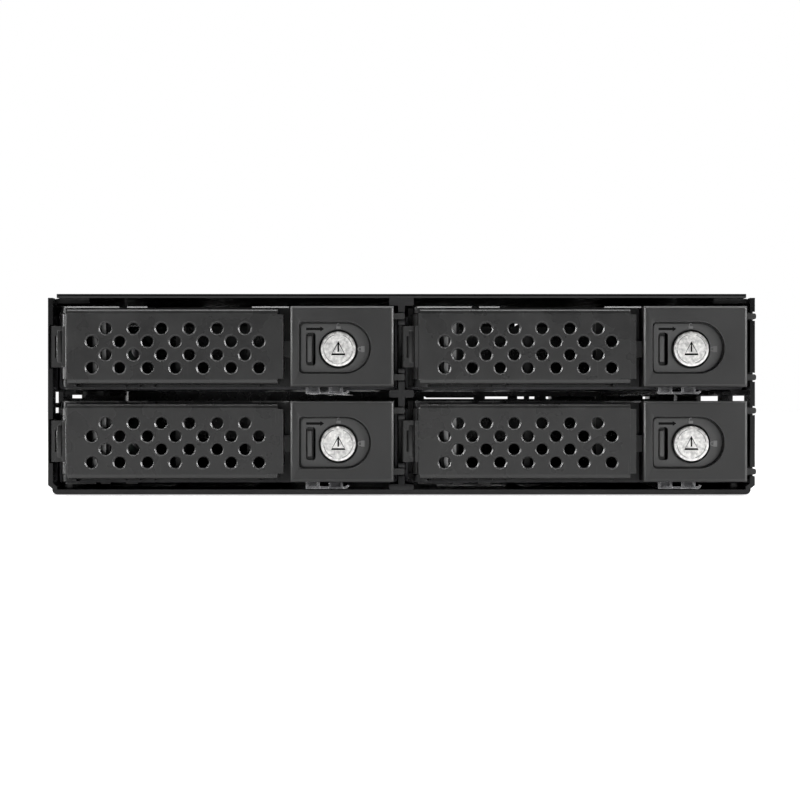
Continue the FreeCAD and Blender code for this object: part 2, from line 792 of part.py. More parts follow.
def lock_housing():
    half = front_half
    shell = box(housing_left, housing_right, housing_face, housing_back, -half, half)
    front_edges = [edge for edge in shell.Edges if edge.CenterOfMass.y < housing_face + 0.01]
    shell = shell.makeChamfer(housing_chamfer, front_edges)
    inner = box(housing_left + housing_wall, housing_right - housing_wall, wall_back, housing_back + 1,
                -half + housing_wall, half - housing_wall)
    pocket = d_shape(pocket_left, pocket_right, pocket_height, -pocket_drop,
                     housing_face - 1, pocket_back, pocket_corner)
    sleeve = rod(lock_body / 2 + lock_play + sleeve_wall, lock_x, wall_back - weld, lock_z,
                 sleeve_end - wall_back + weld, "y")
    lugs = [rounded(box(housing_right - lug_root, bay_half + lug_reach, lug_front, lug_front + lug_length,
                        z - lug_size / 2, z + lug_size / 2), lug_round, "y", lambda p: p.x > bay_half)
            for z in (-lug_spacing / 2, lug_spacing / 2)]
    bore = rod(lock_body / 2 + lock_play, lock_x, housing_face, lock_z, 2 * housing_back, "y")
    ring = rod(lock_diameter / 2 + lock_ring, lock_x, housing_face, lock_z, pocket_depth + lock_recess, "y")
    slot = soft_box(slot_x - slot_width / 2, slot_x + slot_width / 2, housing_face, wall_back + 1,
                    lock_z - slot_height / 2, lock_z + slot_height / 2, slot_round, "y")
    bolt_hole = box(housing_left - 1, housing_left + housing_wall + 1, bolt_front - bolt_play,
                    bolt_front + bolt_thickness + bolt_play,
                    lock_z - bolt_height / 2 - bolt_play, lock_z + bolt_height / 2 + bolt_play)
    body = joined([shell.cut(inner), sleeve] + lugs + slider_guides())
    return body.cut([pocket, bore, ring, slot, bolt_hole])


def slider_guides():
    """Ribs behind the pocket that the slider runs between, and the post that the spring pushes on."""
    x0 = housing_left + housing_wall - weld
    x1 = slider_right + slider_travel
    root = wall_back - weld
    hook_front = slider_back + guide_play
    hook_back = hook_front + guide_rib
    ceiling = front_half - housing_wall + weld
    shelf = slider_low - guide_play
    low_rib = box(x0, x1, root, hook_back, shelf - guide_rib, shelf)
    low_hook = box(x0, x1, hook_front, hook_back, shelf - weld, shelf - weld + guide_hook)
    high_rib = box(x0, x1, root, hook_back, slider_high + guide_play, ceiling)
    post = box(leaf_stop, leaf_stop + guide_hook, root, hook_back + post_beyond_hook,
               leaf_low - fit_play, ceiling)
    return [low_rib, low_hook, high_rib, post]


# ---------------------------------------------------------------- tray: release slider and spring
def release_slider():
    """Sprung slide: the thumb bar in the slot, the bolt that holds the lever, the leg the cam blocks."""
    plate = box(slider_left, slider_right, slider_front, slider_back, slider_low, slider_high)
    plate = rounded(plate, slider_round, "y")
    thumb_left = slot_x - slot_width / 2 + thumb_edge_play
    thumb = box(thumb_left, thumb_left + thumb_width, pocket_back - thumb_out, slider_front + weld,
                lock_z - thumb_height / 2, lock_z + thumb_height / 2)
    thumb = rounded(thumb, thumb_width / 4, "z", lambda p: p.y < pocket_back)
    bolt = box(lever_right - bolt_catch, slider_left + weld + slider_round,
               bolt_front, bolt_front + bolt_thickness,
               lock_z - bolt_height / 2, lock_z + bolt_height / 2)
    bolt = bolt.makeChamfer(bolt_chamfer, [edge for edge in bolt.Edges
                                           if along(edge, "z") and edge.CenterOfMass.x < lever_right
                                           and edge.CenterOfMass.y > bolt_front + bolt_chamfer])
    leg_right = lock_x - cam_reach - cam_gap
    leg = box(leg_right - leg_sheet, leg_right, slider_back - weld, cam_back,
              lock_z - leg_half, lock_z + leg_half)
    return joined([plate, thumb, bolt, leg])


def slider_spring():
    """A strip of spring steel bent to a U between the slider and its post."""
    left = slider_right + spring_play
    right = leaf_stop - spring_play
    middle = (left + right) / 2
    radius = (right - left) / 2
    front = slider_front + spring_inset
    bend_y = front + spring_leg
    low = leaf_low + weld
    height = slider_high - spring_below - low
    bend = rod(radius, middle, bend_y, low, height, "z").cut(
        rod(radius - leaf_sheet, middle, bend_y, low - 1, height + 2, "z"))
    bend = bend.cut(box(left - 1, right + 1, bend_y - 10, bend_y, low - 1, low + height + 1))
    legs = [box(left, left + leaf_sheet, front, bend_y, low, low + height),
            box(right - leaf_sheet, right, front, bend_y, low, low + height)]
    return joined([bend] + legs)


# ---------------------------------------------------------------- tray: lock rotor and cam
def triangle(side_half, height, z, y0, y1):
    """An upright triangular prism centred on the lock."""
    corners = [Vector(lock_x - side_half, y0, z), Vector(lock_x + side_half, y0, z),
               Vector(lock_x, y0, z + height), Vector(lock_x - side_half, y0, z)]
    return Part.Face(Part.makePolygon(corners)).extrude(Vector(0, y1 - y0, 0))


def lock_rotor():
    head_front = housing_face + lock_recess
    head_back = pocket_back + lock_recess - seat_play
    head = rod(lock_diameter / 2, lock_x, head_front, lock_z, head_back - head_front, "y")
    face_edges = [edge for edge in head.Edges if edge.CenterOfMass.y < head_front + 0.01]
    head = head.makeChamfer(head_chamfer, face_edges)
    barrel_front = head_back - weld
    barrel = rod(lock_body / 2, lock_x, barrel_front, lock_z, sleeve_end + fit_play - barrel_front, "y")
    key = box(lock_x - tang / 2, lock_x + tang / 2, sleeve_end, cam_back + weld,
              lock_z - tang / 2, lock_z + tang / 2)
    peened = rod(tang / 2 + peen_lip, lock_x, cam_back + fit_play, lock_z, peen_height, "y")
    groove = rod(ring_groove_outer, lock_x, head_front - 1, lock_z, 1 + ring_groove_depth, "y").cut(
        rod(ring_groove_inner, lock_x, head_front - 1, lock_z, 1 + ring_groove_depth, "y"))
    pointer = box(lock_x - pointer_half, lock_x + pointer_half, head_front - 1, head_front + pointer_depth,
                  lock_z + pointer_start, lock_z + lock_diameter)
    keyway = triangle(keyway_half, keyway_height, lock_z - keyway_height * 0.4,
                      head_front - 1, head_front + keyway_depth)
    post = triangle(post_half, post_height, lock_z - post_height * 0.5,
                    head_front + post_depth, head_front + keyway_depth + weld)
    return joined([head, barrel, key, peened]).cut([groove, pointer, keyway.cut(post)])


def lock_cam():
    """Stamped cam that hangs down when unlocked, and stands behind the slider's leg when locked."""
    y0 = cam_front
    hub = rod(cam_hub, lock_x, y0, lock_z, cam_sheet, "y")
    tip_radius = cam_width / 2
    arm = box(lock_x - tip_radius, lock_x + tip_radius, y0, y0 + cam_sheet,
              lock_z - cam_reach + tip_radius, lock_z)
    tip = rod(tip_radius, lock_x, y0, lock_z - cam_reach + tip_radius, cam_sheet, "y")
    hole = box(lock_x - tang / 2 - seat_play, lock_x + tang / 2 + seat_play, y0 - 1, y0 + cam_sheet + 1,
               lock_z - tang / 2 - seat_play, lock_z + tang / 2 + seat_play)
    return joined([hub, arm, tip]).cut(hole)


# ---------------------------------------------------------------- tray: light pipes
def light_pipe():
    """Two clear bars that carry the light of the board's LEDs to the tray front."""
    end = board_front - led_height - led_gap
    parts = []
    for i in range(2):
        x = pipe_left + i * pipe_pitch
        bar = box(x, x + pipe_width, pipe_front + 1, end, pipe_low, carrier_under)
        head = box(x, x + pipe_width, pipe_front, pipe_front + pipe_head, pipe_low, -front_half)
        parts += [bar, rounded(head, pipe_round, "x", lambda p: p.y < pipe_front + pipe_round)]
    for y0 in (pipe_front + pipe_head - pipe_bridge_length / 2, end - pipe_bridge_from_end):
        parts.append(box(pipe_left, pipe_left + pipe_pitch, y0, y0 + pipe_bridge_length,
                         pipe_low, pipe_low + pipe_bridge))
    return joined(parts)


# ---------------------------------------------------------------- backplane
def board_screw_places():
    return [(side * board_screw_x, z) for side in (-1, 1) for z in (screw_z_low, screw_z_high)]


def backplane_board():
    edge = wall_in - board_side_play
    board = soft_box(-edge, edge, board_front, board_back, board_low, board_high, tab_round, "y")
    tools = [rod(screw_shank / 2 + screw_play, x, board_front - 1, z, board_thickness + 2, "y")
             for x, z in board_screw_places()]
    for x in vent_starts:
        tools += both_sides(box(x, x + vent_width, board_front - 1, board_back + 1, *vent_heights))
        tools.append(box(x, x + vent_width, board_front - 1, board_back + 1, *tier_slot_heights))
    return board.cut(tools)


def board_screws():
    found = []
    for x, z in board_screw_places():
        head = rod(screw_head / 2, x, board_front - board_screw_head, z, board_screw_head, "y")
        head = head.makeChamfer(bolt_chamfer, [e for e in head.Edges if e.CenterOfMass.y < board_front - 1])
        shank = rod(screw_shank / 2, x, board_front - 0.5, z, board_thickness + pan_sheet + 1.0, "y")
        found.append(head.fuse(shank).removeSplitter())
    return found


def drive_connector():
    """Receptacle that the drive's plug enters, with its contact slots in the nose."""
    centre = connector_offset
    half = connector_width / 2
    low = carrier_under + carrier_sheet + connector_rise
    high = low + connector_height
    front = board_front - connector_depth
    step = front + connector_nose
    body = soft_box(centre - half, centre + half, step, board_front, low, high, mould_round, "y")
    nose_half = half - connector_rim
    nose = box(centre - nose_half, centre + nose_half, front, step + weld, low + nose_rim, high - nose_rim)
    inside = nose_half - contact_rim
    bar = centre - nose_half / 6
    slot_back = front + contact_slot_depth
    low_slot = low + contact_rise
    high_slot = low_slot + contact_slot
    slots = [box(centre - inside, bar - contact_bar, front - 1, slot_back, low_slot, high_slot),
             box(bar + contact_bar, centre + inside, front - 1, slot_back, low_slot, high_slot),
             box(bar - 2 * contact_bar, bar - contact_bar, front - 1, slot_back,
                 low_slot, high_slot + contact_bar)]
    return joined([body, nose]).cut(slots)


def drive_connectors():
    return [placed(drive_connector(), place) for place in tray_places]


def status_leds():
    """Two small lamps per tray on the board, each facing a light pipe."""
    found = []
    for place in tray_places:
        for i in range(2):
            x = pipe_left + i * pipe_pitch + pipe_width / 2
            lamp = box(x - led_width / 2, x + led_width / 2, board_front - led_height, board_front,
                       carrier_under - led_drop - led_height, carrier_under - led_drop)
            found.append(placed(lamp, place))
    return found


def port(x, z, width):
    """Rear socket with a keyed slot round its contact tongue."""
    half = width / 2
    end = board_back + port_depth
    body = soft_box(x - half, x + half, board_back, end, z - port_height / 2, z + port_height / 2,
                    mould_round, "y")
    inside = half - port_rim
    slot_front = end - port_slot_depth
    slot_low = z - port_slot / 2
    slot = box(x - inside, x + inside, slot_front, end + 1, slot_low, z + port_slot / 2)
    key = box(x - inside, x - inside + port_key_width, slot_front, end + 1, slot_low - port_key_depth, z)
    tongue = box(x - inside + port_rim, x + inside - port_rim / 3, slot_front - weld,
                 end - port_tongue_setback, z + fit_play, z + fit_play + port_tongue)
    return body.cut([slot, key]).fuse(tongue).removeSplitter()


def data_ports():
    return [port(side * port_x, fan_z + height, data_port_width)
            for height in data_port_heights for side in (-1, 1)]


def power_ports():
    return [port(side * port_x, fan_z + power_port_height, power_port_width) for side in (-1, 1)]


# ---------------------------------------------------------------- fans and their brackets
def fan_bracket():
    """Plate with a pressed finger guard, and a side flange that is screwed to the wall."""
    low = pan_sheet + fit_play
    high = cover_under - pan_sheet - fit_play
    right = wall_in - fit_play
    left = fan_x - fan_size / 2 - bracket_overhang
    plate = box(left, right, pan_depth - bracket_sheet, pan_depth, low, high)
    plate = rounded(plate, bracket_corner, "y", lambda p: p.x > fan_x)
    flange = box(right - bracket_sheet, right, pan_depth - bracket_flange, pan_depth,
                 low + flange_inset, high - flange_inset)
    tools = guard_slots() + case_screw_tools()
    for dx in (-1, 1):
        for dz in (-1, 1):
            tools.append(rod(screw_shank / 2 + screw_play, fan_x + dx * fan_hole_spacing / 2,
                             pan_depth - 3, fan_z + dz * fan_hole_spacing / 2, 6, "y"))
    return plate.fuse(flange).removeSplitter().cut(tools)


def guard_slots():
    """Ring slots of the finger guard, parted by four spokes."""
    slots = []
    y0 = pan_depth - bracket_sheet - 1
    length = bracket_sheet + 2
    spokes = []
    for angle in (45, 135):
        spoke = box(-fan_size, fan_size, y0 - 1, y0 + length + 1, -guard_spoke / 2, guard_spoke / 2)
        spoke.rotate(Vector(0, 0, 0), AXES["y"], angle)
        spoke.translate(Vector(fan_x, 0, fan_z))
        spokes.append(spoke)
    inner = guard_first
    while inner < fan_bore / 2 - guard_wire:
        outer = min(inner + guard_slot, fan_bore / 2)
        ring = rod(outer, fan_x, y0, fan_z, length, "y").cut(rod(inner, fan_x, y0, fan_z, length, "y"))
        slots.append(ring.cut(spokes))
        inner = outer + guard_wire
    return slots


def fan_brackets():
    return both_sides(fan_bracket())


def fan_frame():
    """Square frame with a round duct, and struts that carry the motor base at the rear."""
    half = fan_size / 2
    y0, y1 = pan_depth, rear_face
    shell = soft_box(fan_x - half, fan_x + half, y0, y1, fan_z - half, fan_z + half, fan_corner, "y")
    duct = rod(fan_bore / 2, fan_x, y0 - 1, fan_z, fan_depth + 2, "y")
    struts = []
    for angle in (0, 90):
        strut = box(-fan_bore / 2 - weld, fan_bore / 2 + weld, y1 - strut_depth, y1,
                    -strut_width / 2, strut_width / 2)
        strut.rotate(Vector(0, 0, 0), AXES["y"], angle + strut_turn)
        strut.translate(Vector(fan_x, 0, fan_z))
        struts.append(strut)
    base = rod(rotor_hub, fan_x, y1 - strut_depth, fan_z, strut_depth, "y")
    bush = rod(fan_bush, fan_x, y1 - strut_depth - bush_length, fan_z, bush_length + weld, "y")
    tools = [rod(fan_shaft + pin_play, fan_x, y0, fan_z, fan_depth - strut_depth + bush_length, "y")]
    for dx in (-1, 1):
        for dz in (-1, 1):
            place = Vector(fan_x + dx * fan_hole_spacing / 2, y1, fan_z + dz * fan_hole_spacing / 2)
            tools.append(countersunk_screw(place, Vector(0, -1, 0), fan_depth + 1, screw_play))
    return joined([shell.cut(duct)] + struts + [base, bush]).cut(tools)


def fan_frames():
    return both_sides(fan_frame())


def fan_screws():
    found = []
    for dx in (-1, 1):
        for dz in (-1, 1):
            place = Vector(fan_x + dx * fan_hole_spacing / 2, rear_face, fan_z + dz * fan_hole_spacing / 2)
            screw = countersunk_screw(place, Vector(0, -1, 0), fan_depth + bracket_sheet + fan_screw_beyond)
            found += both_sides(screw)
    return found


def blade_section(radius, angle, chord):
    """A thin slanted outline at one radius, standing across the blade."""
    half_t = blade_thickness / 2
    turn = math.radians(angle)
    points = []
    for u, v in ((-chord / 2, -half_t), (chord / 2, -half_t), (chord / 2, half_t), (-chord / 2, half_t)):
        y = u * math.sin(turn) + v * math.cos(turn)
        z = u * math.cos(turn) - v * math.sin(turn)
        points.append(Vector(radius, y, z))
    return Part.makePolygon(points + points[:1])


def fan_rotor():
    """Hub and slanted blades on a short shaft, centred on the origin."""
    half = rotor_depth / 2
    hub = rod(rotor_hub, 0, -half, 0, rotor_depth, "y")
    hub = hub.makeChamfer(hub_chamfer, [e for e in hub.Edges if e.CenterOfMass.y < -half + 0.01])
    shaft = rod(fan_shaft, 0, half - 1, 0, 1 + fan_depth - rotor_depth - strut_depth, "y")
    root_chord = blade_chord * blade_root_share
    blades = []
    for i in range(blade_count):
        root = blade_section(rotor_hub - 1.0, blade_pitch, root_chord)
        tip = blade_section(blade_tip, blade_pitch, blade_chord)
        blade = Part.makeLoft([root, tip], True, True)
        blade.rotate(Vector(0, 0, 0), AXES["y"], i * 360.0 / blade_count)
        blades.append(blade)
    return joined([hub, shaft] + blades)


def fan_rotor_at(x):
    rotor = fan_rotor()
    rotor.translate(Vector(x, pan_depth + fan_front_play + rotor_depth / 2, fan_z))
    return rotor


# ---------------------------------------------------------------- putting it together
def placed(shape, place):
    copy = shape.copy()
    copy.translate(Vector(place[0], 0, place[1]))
    return copy


def export(name, shapes):
    shapes = shapes if isinstance(shapes, list) else [shapes]
    solids = []
    for shape in shapes:
        moved = shape.copy()
        moved.translate(Vector(0, -middle_y, 0))
        solids += moved.Solids
    whole = solids[0] if len(solids) == 1 else Part.makeCompound(solids)
    if not whole.isValid():
        raise ValueError(name + " is not a valid solid")
    whole.exportStep(os.path.join("parts", name + ".step"))


CAGE = {
    "chassis_pan": chassis_pan,
    "top_cover": top_cover,
    "case_screws": case_screws,
    "centre_divider": centre_divider,
    "backplane_board": backplane_board,
    "board_screws": board_screws,
    "drive_connectors": drive_connectors,
    "status_leds": status_leds,
    "data_ports": data_ports,
    "power_ports": power_ports,
    "fan_brackets": fan_brackets,
    "fan_frames": fan_frames,
    "fan_screws": fan_screws,
}

TRAY = {
    "carrier": carrier,
    "front_frame": front_frame,
    "hinge_pin": hinge_pin,
    "lever_plate": lever_plate,
    "lever_arm": lever_arm,
    "lock_housing": lock_housing,
    "release_slider": release_slider,
    "slider_spring": slider_spring,
    "lock_rotor": lock_rotor,
    "lock_cam": lock_cam,
    "light_pipe": light_pipe,
}

os.makedirs("parts", exist_ok=True)
for piece_name, make in CAGE.items():
    export(piece_name, make())
export("fan_rotor_left", fan_rotor_at(-fan_x))
export("fan_rotor_right", fan_rotor_at(fan_x))
for piece_name, make in TRAY.items():
    one = make()
    for number, spot in enumerate(tray_places, start=1):
        export("tray_{}_{}".format(number, piece_name), placed(one, spot))
print("cage {:.2f} x {:.2f} x {:.2f} mm".format(2 * half_width, rear_face - housing_face, cage_height))
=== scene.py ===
import json
import math

import bmesh
import bpy
from mathutils import Matrix, Vector


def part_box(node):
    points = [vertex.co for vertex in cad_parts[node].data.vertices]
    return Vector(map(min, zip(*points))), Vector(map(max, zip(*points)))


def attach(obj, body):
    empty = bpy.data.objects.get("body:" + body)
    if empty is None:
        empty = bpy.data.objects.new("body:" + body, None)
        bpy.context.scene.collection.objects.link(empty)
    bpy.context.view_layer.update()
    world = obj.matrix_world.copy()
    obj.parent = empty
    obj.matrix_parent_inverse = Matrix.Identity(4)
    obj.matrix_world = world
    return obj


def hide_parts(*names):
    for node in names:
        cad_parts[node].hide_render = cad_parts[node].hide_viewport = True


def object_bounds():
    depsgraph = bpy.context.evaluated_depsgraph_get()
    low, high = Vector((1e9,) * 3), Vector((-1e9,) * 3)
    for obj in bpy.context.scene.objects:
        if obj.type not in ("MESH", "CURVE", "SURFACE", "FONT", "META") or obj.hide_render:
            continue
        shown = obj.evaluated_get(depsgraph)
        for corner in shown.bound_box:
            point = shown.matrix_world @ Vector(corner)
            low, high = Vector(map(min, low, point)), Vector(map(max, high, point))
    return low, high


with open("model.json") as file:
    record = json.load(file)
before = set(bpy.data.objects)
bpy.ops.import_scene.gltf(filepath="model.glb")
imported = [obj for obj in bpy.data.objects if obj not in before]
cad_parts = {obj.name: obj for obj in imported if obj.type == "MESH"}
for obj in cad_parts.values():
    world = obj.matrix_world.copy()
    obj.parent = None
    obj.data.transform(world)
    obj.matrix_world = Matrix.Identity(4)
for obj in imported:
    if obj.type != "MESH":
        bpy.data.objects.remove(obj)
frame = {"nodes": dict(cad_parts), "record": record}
cad_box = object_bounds()

# Hot swap drive cage: the looks of its steel case, four trays, locks, board and fans.
# Metres. +X right, +Z up, the levers and locks face -Y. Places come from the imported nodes.

MM = 0.001
TRAYS = (1, 2, 3, 4)
SLOT_OF = {row["node"]: row["material_slot"] for row in frame["record"]["subparts"]}
BODY_OF = {node: body for body, nodes in frame["record"]["behaviour"]["bodies"].items() for node in nodes}

# ---------------------------------------------------------------- sizes of the dressed pieces
LEVER_SHEET = 0.8 * MM
LEVER_FLANGE = 3.6 * MM
LEVER_BEND = 1.0 * MM
LEVER_NOTCH = 1.2 * MM
FLANGE_START = 4.6 * MM          # from the left end of the lever to its folded flanges
KEEPER_HALF = 4.5 * MM
LEAF_FROM_LEFT = 4.95 * MM       # steel leaf behind the first holes
LEFT_ROLL = 0.6 * MM             # rolled left edge of a lever
HOLE_RADIUS = 1.15 * MM
HOLE_RIM = 0.34 * MM             # width of the slanted edge that the punch leaves
RIM_TILT = 36                    # degrees
HOLE_PITCH = 5.74 * MM
ROW_PITCH = 2.7 * MM
HOLE_SIDES = 32
HOLES_DROP = 0.3 * MM            # the rows lie a little below the middle

HOUSING_WIDTH = 21.25 * MM
HOUSING_CHAMFER = 0.45 * MM
POCKET_MARGIN = 1.8 * MM
POCKET_LENGTH = 14.8 * MM
POCKET_HEIGHT = 10.7 * MM
POCKET_DEPTH = 1.8 * MM
POCKET_DROP = 0.25 * MM
POCKET_CORNER = 0.8 * MM
WALL = 1.2 * MM
LOCK_RADIUS = 3.6 * MM
LOCK_GAP = 0.45 * MM
SLEEVE_WALL = 0.3 * MM           # clears the slider at the end of its travel
LOCK_BODY = 3.06 * MM
LUG_OFFSET = 6.3 * MM
LUG_HALF = 0.62 * MM
LUG_START = 3.1 * MM             # behind the face of the housing
LUG_DEPTH = 2.0 * MM
CUP_DEPTH = 1.6 * MM             # dark cup round the lock, behind the wall
SLEEVE_LENGTH = 9.1 * MM
POCKET_GROOVE = 0.38 * MM        # dark line round the floor of the pocket
SLOT_FROM_LEFT = 4.15 * MM
SLOT_WIDTH = 2.0 * MM
SLOT_HEIGHT = 6.8 * MM
BAR_LEFT = -0.8 * MM             # edges of the slider's bar, from the middle of its slot
BAR_RIGHT = 0.27 * MM
BAR_HALF = 2.75 * MM
ARROW_PLACE = (0.9 * MM, 4.15 * MM)              # right of the slot, above the lock
ARROW_SIZE = (3.7 * MM, 1.05 * MM, 0.5 * MM)     # length, height, shaft
OPEN_SIGN_OFFSET = 4.62 * MM     # above the lock
OPEN_SIGN_SIZE = 0.95 * MM
SHUT_SIGN_OFFSET = 4.8 * MM      # to the right of the lock
SHUT_SIGN_SIZE = 1.25 * MM
KEYWAY = (1.5 * MM, 2.95 * MM, -1.3 * MM)        # half base, height and bottom of a three sided shape
KEY_POST = (1.2 * MM, 2.1 * MM, -0.9 * MM)
# Size of the black sheet that paints shade at the bottom of the keyway.
KEYWAY_PAINTED_SHADE = (1.49 * MM, 2.93 * MM, -1.295 * MM)
SLIT_HALF = 0.17 * MM
# Lighter tone on the floor of the lock pocket: painted light in the recess.
POCKET_FLOOR_PAINTED_LIGHT = 0.064

SOFT_EDGE = 0.1 * MM
WIDE_FACE = 2.0 * MM             # a face wider than this is shaded flat
ROUND_SIDES = 72
HEM_HALF = 31.5 * MM             # folded rear edge of the cover, between the fans
HEM_DROP = 2.2 * MM
HEM_SHEET = 0.8 * MM

SCREW_SIDES = 32
SCREW_SHANK = 1.45 * MM
SCREW_HOLE = 1.6 * MM
SCREW_PLAY = 0.12 * MM           # round a head in its countersink

FAN_HALF = 20.0 * MM
FAN_BORE = 18.3 * MM
FAN_CORNER = 3.0 * MM
FAN_HUB = 9.0 * MM
ROTOR_DEPTH = 6.8 * MM
BLADE_TIP = 16.6 * MM
BLADE_COUNT = 7
BLADE_CHORD = 9.0 * MM
BLADE_ROOT_SHARE = 0.86
BLADE_PITCH = 32                 # degrees
BLADE_THICKNESS = 0.8 * MM
STRUT_WIDTH = 2.0 * MM
STRUT_DEPTH = 1.4 * MM
STRUT_TURN = 20                  # degrees

# Slanted lips of a tray front, coloured lighter than the frame as a painted highlight, as spans from its left
# end in millimetres.
TOP_LIPS = ((2.4, 13.6), (15.2, 19.4), (41.0, 48.6))
LOW_LIPS = ((2.6, 8.8), (9.8, 11.8), (15.0, 17.4))


def of_tray(tray, part):
    """The name of a part of one tray."""
    return "tray_{}_{}".format(tray, part)


# ---------------------------------------------------------------- mesh helpers
def new_object(name, mesh):
    made = bpy.data.objects.new(name, mesh)
    bpy.context.scene.collection.objects.link(made)
    return made


def from_bmesh(name, bm):
    mesh = bpy.data.meshes.new(name)
    bm.to_mesh(mesh)
    bm.free()
    return new_object(name, mesh)


def drop(*objects):
    for one in objects:
        bpy.data.objects.remove(one)


def settled(piece):
    """The piece with its modifiers worked into a plain mesh."""
    evaluated = piece.evaluated_get(bpy.context.evaluated_depsgraph_get())
    mesh = bpy.data.meshes.new_from_object(evaluated)
    piece.modifiers.clear()
    piece.data = mesh
    return piece


def block(low, high):
    """A plain box between two corners."""
    bm = bmesh.new()
    bmesh.ops.create_cube(bm, size=1.0)
    low, high = Vector(low), Vector(high)
    size = high - low
    bmesh.ops.transform(bm, matrix=Matrix.Translation((low + high) / 2) @ Matrix.Diagonal(size.to_4d()),
                        verts=bm.verts)
    return from_bmesh("block", bm)


def drawn(outline, start, end, place):
    """An outline drawn out straight, where place(a, b, along) gives each point in space."""
    bm = bmesh.new()
    near = [bm.verts.new(place(a, b, start)) for a, b in outline]
    far = [bm.verts.new(place(a, b, end)) for a, b in outline]
    bm.faces.new(near)
    bm.faces.new(list(reversed(far)))
    for i in range(len(outline)):
        j = (i + 1) % len(outline)
        bm.faces.new((near[j], near[i], far[i], far[j]))
    bmesh.ops.recalc_face_normals(bm, faces=bm.faces)
    return from_bmesh("drawn", bm)


def prism(outline, start, end):
    """An outline of (x, z) points drawn out along y."""
    return drawn(outline, start, end, lambda x, z, y: (x, y, z))


def strip(outline, start, end):
    """An outline of (y, z) points drawn out along x."""
    return drawn(outline, start, end, lambda y, z, x: (x, y, z))


def upright(outline, start, end):
    """An outline of (x, y) points drawn out along z."""
    return drawn(outline, start, end, lambda x, y, z: (x, y, z))


def arc(centre_x, centre_z, radius, start, end, steps):
    """Points (x, z) of an arc, its angles in degrees."""
    turns = [math.radians(start + (end - start) * i / steps) for i in range(steps + 1)]
    return [(centre_x + radius * math.cos(t), centre_z + radius * math.sin(t)) for t in turns]


def lathe(profile, centre, sides, closed=True):
    """A profile of (radius, y) points turned about the y axis through centre, to a solid or an open skin."""
    bm = bmesh.new()
    rings = []
    for radius, y in profile:
        if radius < 1e-7:
            rings.append([bm.verts.new((0, y, 0))])
            continue
        rings.append([bm.verts.new((radius * math.cos(t), y, radius * math.sin(t)))
                      for t in (2 * math.pi * i / sides for i in range(sides))])
    pairs = list(zip(rings, rings[1:]))
    if closed:
        pairs.append((rings[-1], rings[0]))
    for one, two in pairs:
        if len(one) == 1 and len(two) == 1:
            continue
        for i in range(sides):
            j = (i + 1) % sides
            if len(one) == 1:
                bm.faces.new((one[0], two[i], two[j]))
            elif len(two) == 1:
                bm.faces.new((one[i], two[0], one[j]))
            else:
                bm.faces.new((one[i], two[i], two[j], one[j]))
    bmesh.ops.translate(bm, vec=Vector(centre), verts=bm.verts)
    if closed:
        bmesh.ops.recalc_face_normals(bm, faces=bm.faces)
    return from_bmesh("turned", bm)


def merged(name, *pieces):
    """One object that holds the meshes of several, which go."""
    bm = bmesh.new()
    for one in pieces:
        bm.from_mesh(one.data)
    drop(*pieces)
    return from_bmesh(name, bm)


def carve(base, *tools):
    """The base with each tool cut out of it."""
    for tool in tools:
        cut = base.modifiers.new("cut", "BOOLEAN")
        cut.operation = "DIFFERENCE"
        cut.solver = "EXACT"
        cut.object = tool
    settled(base)
    drop(*tools)
    return base


def soften(piece, width, segments=2, angle=32, clamp=False):
    """Rounds the sharp edges a little, so that they catch the light."""
    bm = bmesh.new()
    bm.from_mesh(piece.data)
    bmesh.ops.remove_doubles(bm, verts=bm.verts, dist=2e-6)
    bmesh.ops.dissolve_limit(bm, angle_limit=math.radians(0.6), verts=bm.verts, edges=bm.edges)
    bm.to_mesh(piece.data)
    bm.free()
    bevel = piece.modifiers.new("edges", "BEVEL")
    bevel.width = width
    bevel.segments = segments
    bevel.limit_method = "ANGLE"
    bevel.angle_limit = math.radians(angle)
    bevel.use_clamp_overlap = clamp
    bevel.miter_outer = "MITER_ARC"
    settled(piece)
    return smooth(piece)


def smooth(piece, angle=32):
    """Shades round faces smooth, and leaves wide flat faces and real corners sharp."""
    limit = math.radians(angle)
    bm = bmesh.new()
    bm.from_mesh(piece.data)
    for face in bm.faces:
        longest = max(edge.calc_length() for edge in face.edges)
        face.smooth = face.calc_area() < WIDE_FACE * longest
    for edge in bm.edges:
        edge.smooth = len(edge.link_faces) != 2 or edge.calc_face_angle(0.0) < limit
    bm.to_mesh(piece.data)
    bm.free()
    return piece


def copied(node, name=None):
    """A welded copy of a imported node."""
    bm = bmesh.new()
    bm.from_mesh(frame["nodes"][node].data)
    bmesh.ops.remove_doubles(bm, verts=bm.verts, dist=2e-6)
    return from_bmesh(name or node + "_dressed", bm)


def dress(piece, material, slot, body, *nodes):
    """Gives a piece its finish and its body, and hides the nodes that it stands for."""
    piece.data.materials.clear()
    piece.data.materials.append(material)
    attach(piece, body)
    if nodes:
        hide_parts(*nodes)
    return piece


# ---------------------------------------------------------------- geometry node helpers
def new_tree(name, inputs):
    """An empty geometry node tree with named inputs, and its input and output nodes."""
    tree = bpy.data.node_groups.new(name, "GeometryNodeTree")
    for label, kind in inputs:
        tree.interface.new_socket(label, in_out="INPUT", socket_type="NodeSocket" + kind)
    tree.interface.new_socket("Geometry", in_out="OUTPUT", socket_type="NodeSocketGeometry")
    return tree, tree.nodes.new("NodeGroupInput"), tree.nodes.new("NodeGroupOutput")


def put(tree, kind, inputs=None, **settings):
    """A node of one kind, with its settings and with its inputs joined or set."""
    node = tree.nodes.new(kind)
    for key, value in settings.items():
        setattr(node, key, value)
    for key, value in (inputs or {}).items():
        if isinstance(value, bpy.types.NodeSocket):
            tree.links.new(value, node.inputs[key])
        else:
            node.inputs[key].default_value = value
    return node


def reckon(tree, operation, one, two=0.0):
    """The output of a Math node."""
    return put(tree, "ShaderNodeMath", {0: one, 1: two}, operation=operation).outputs[0]


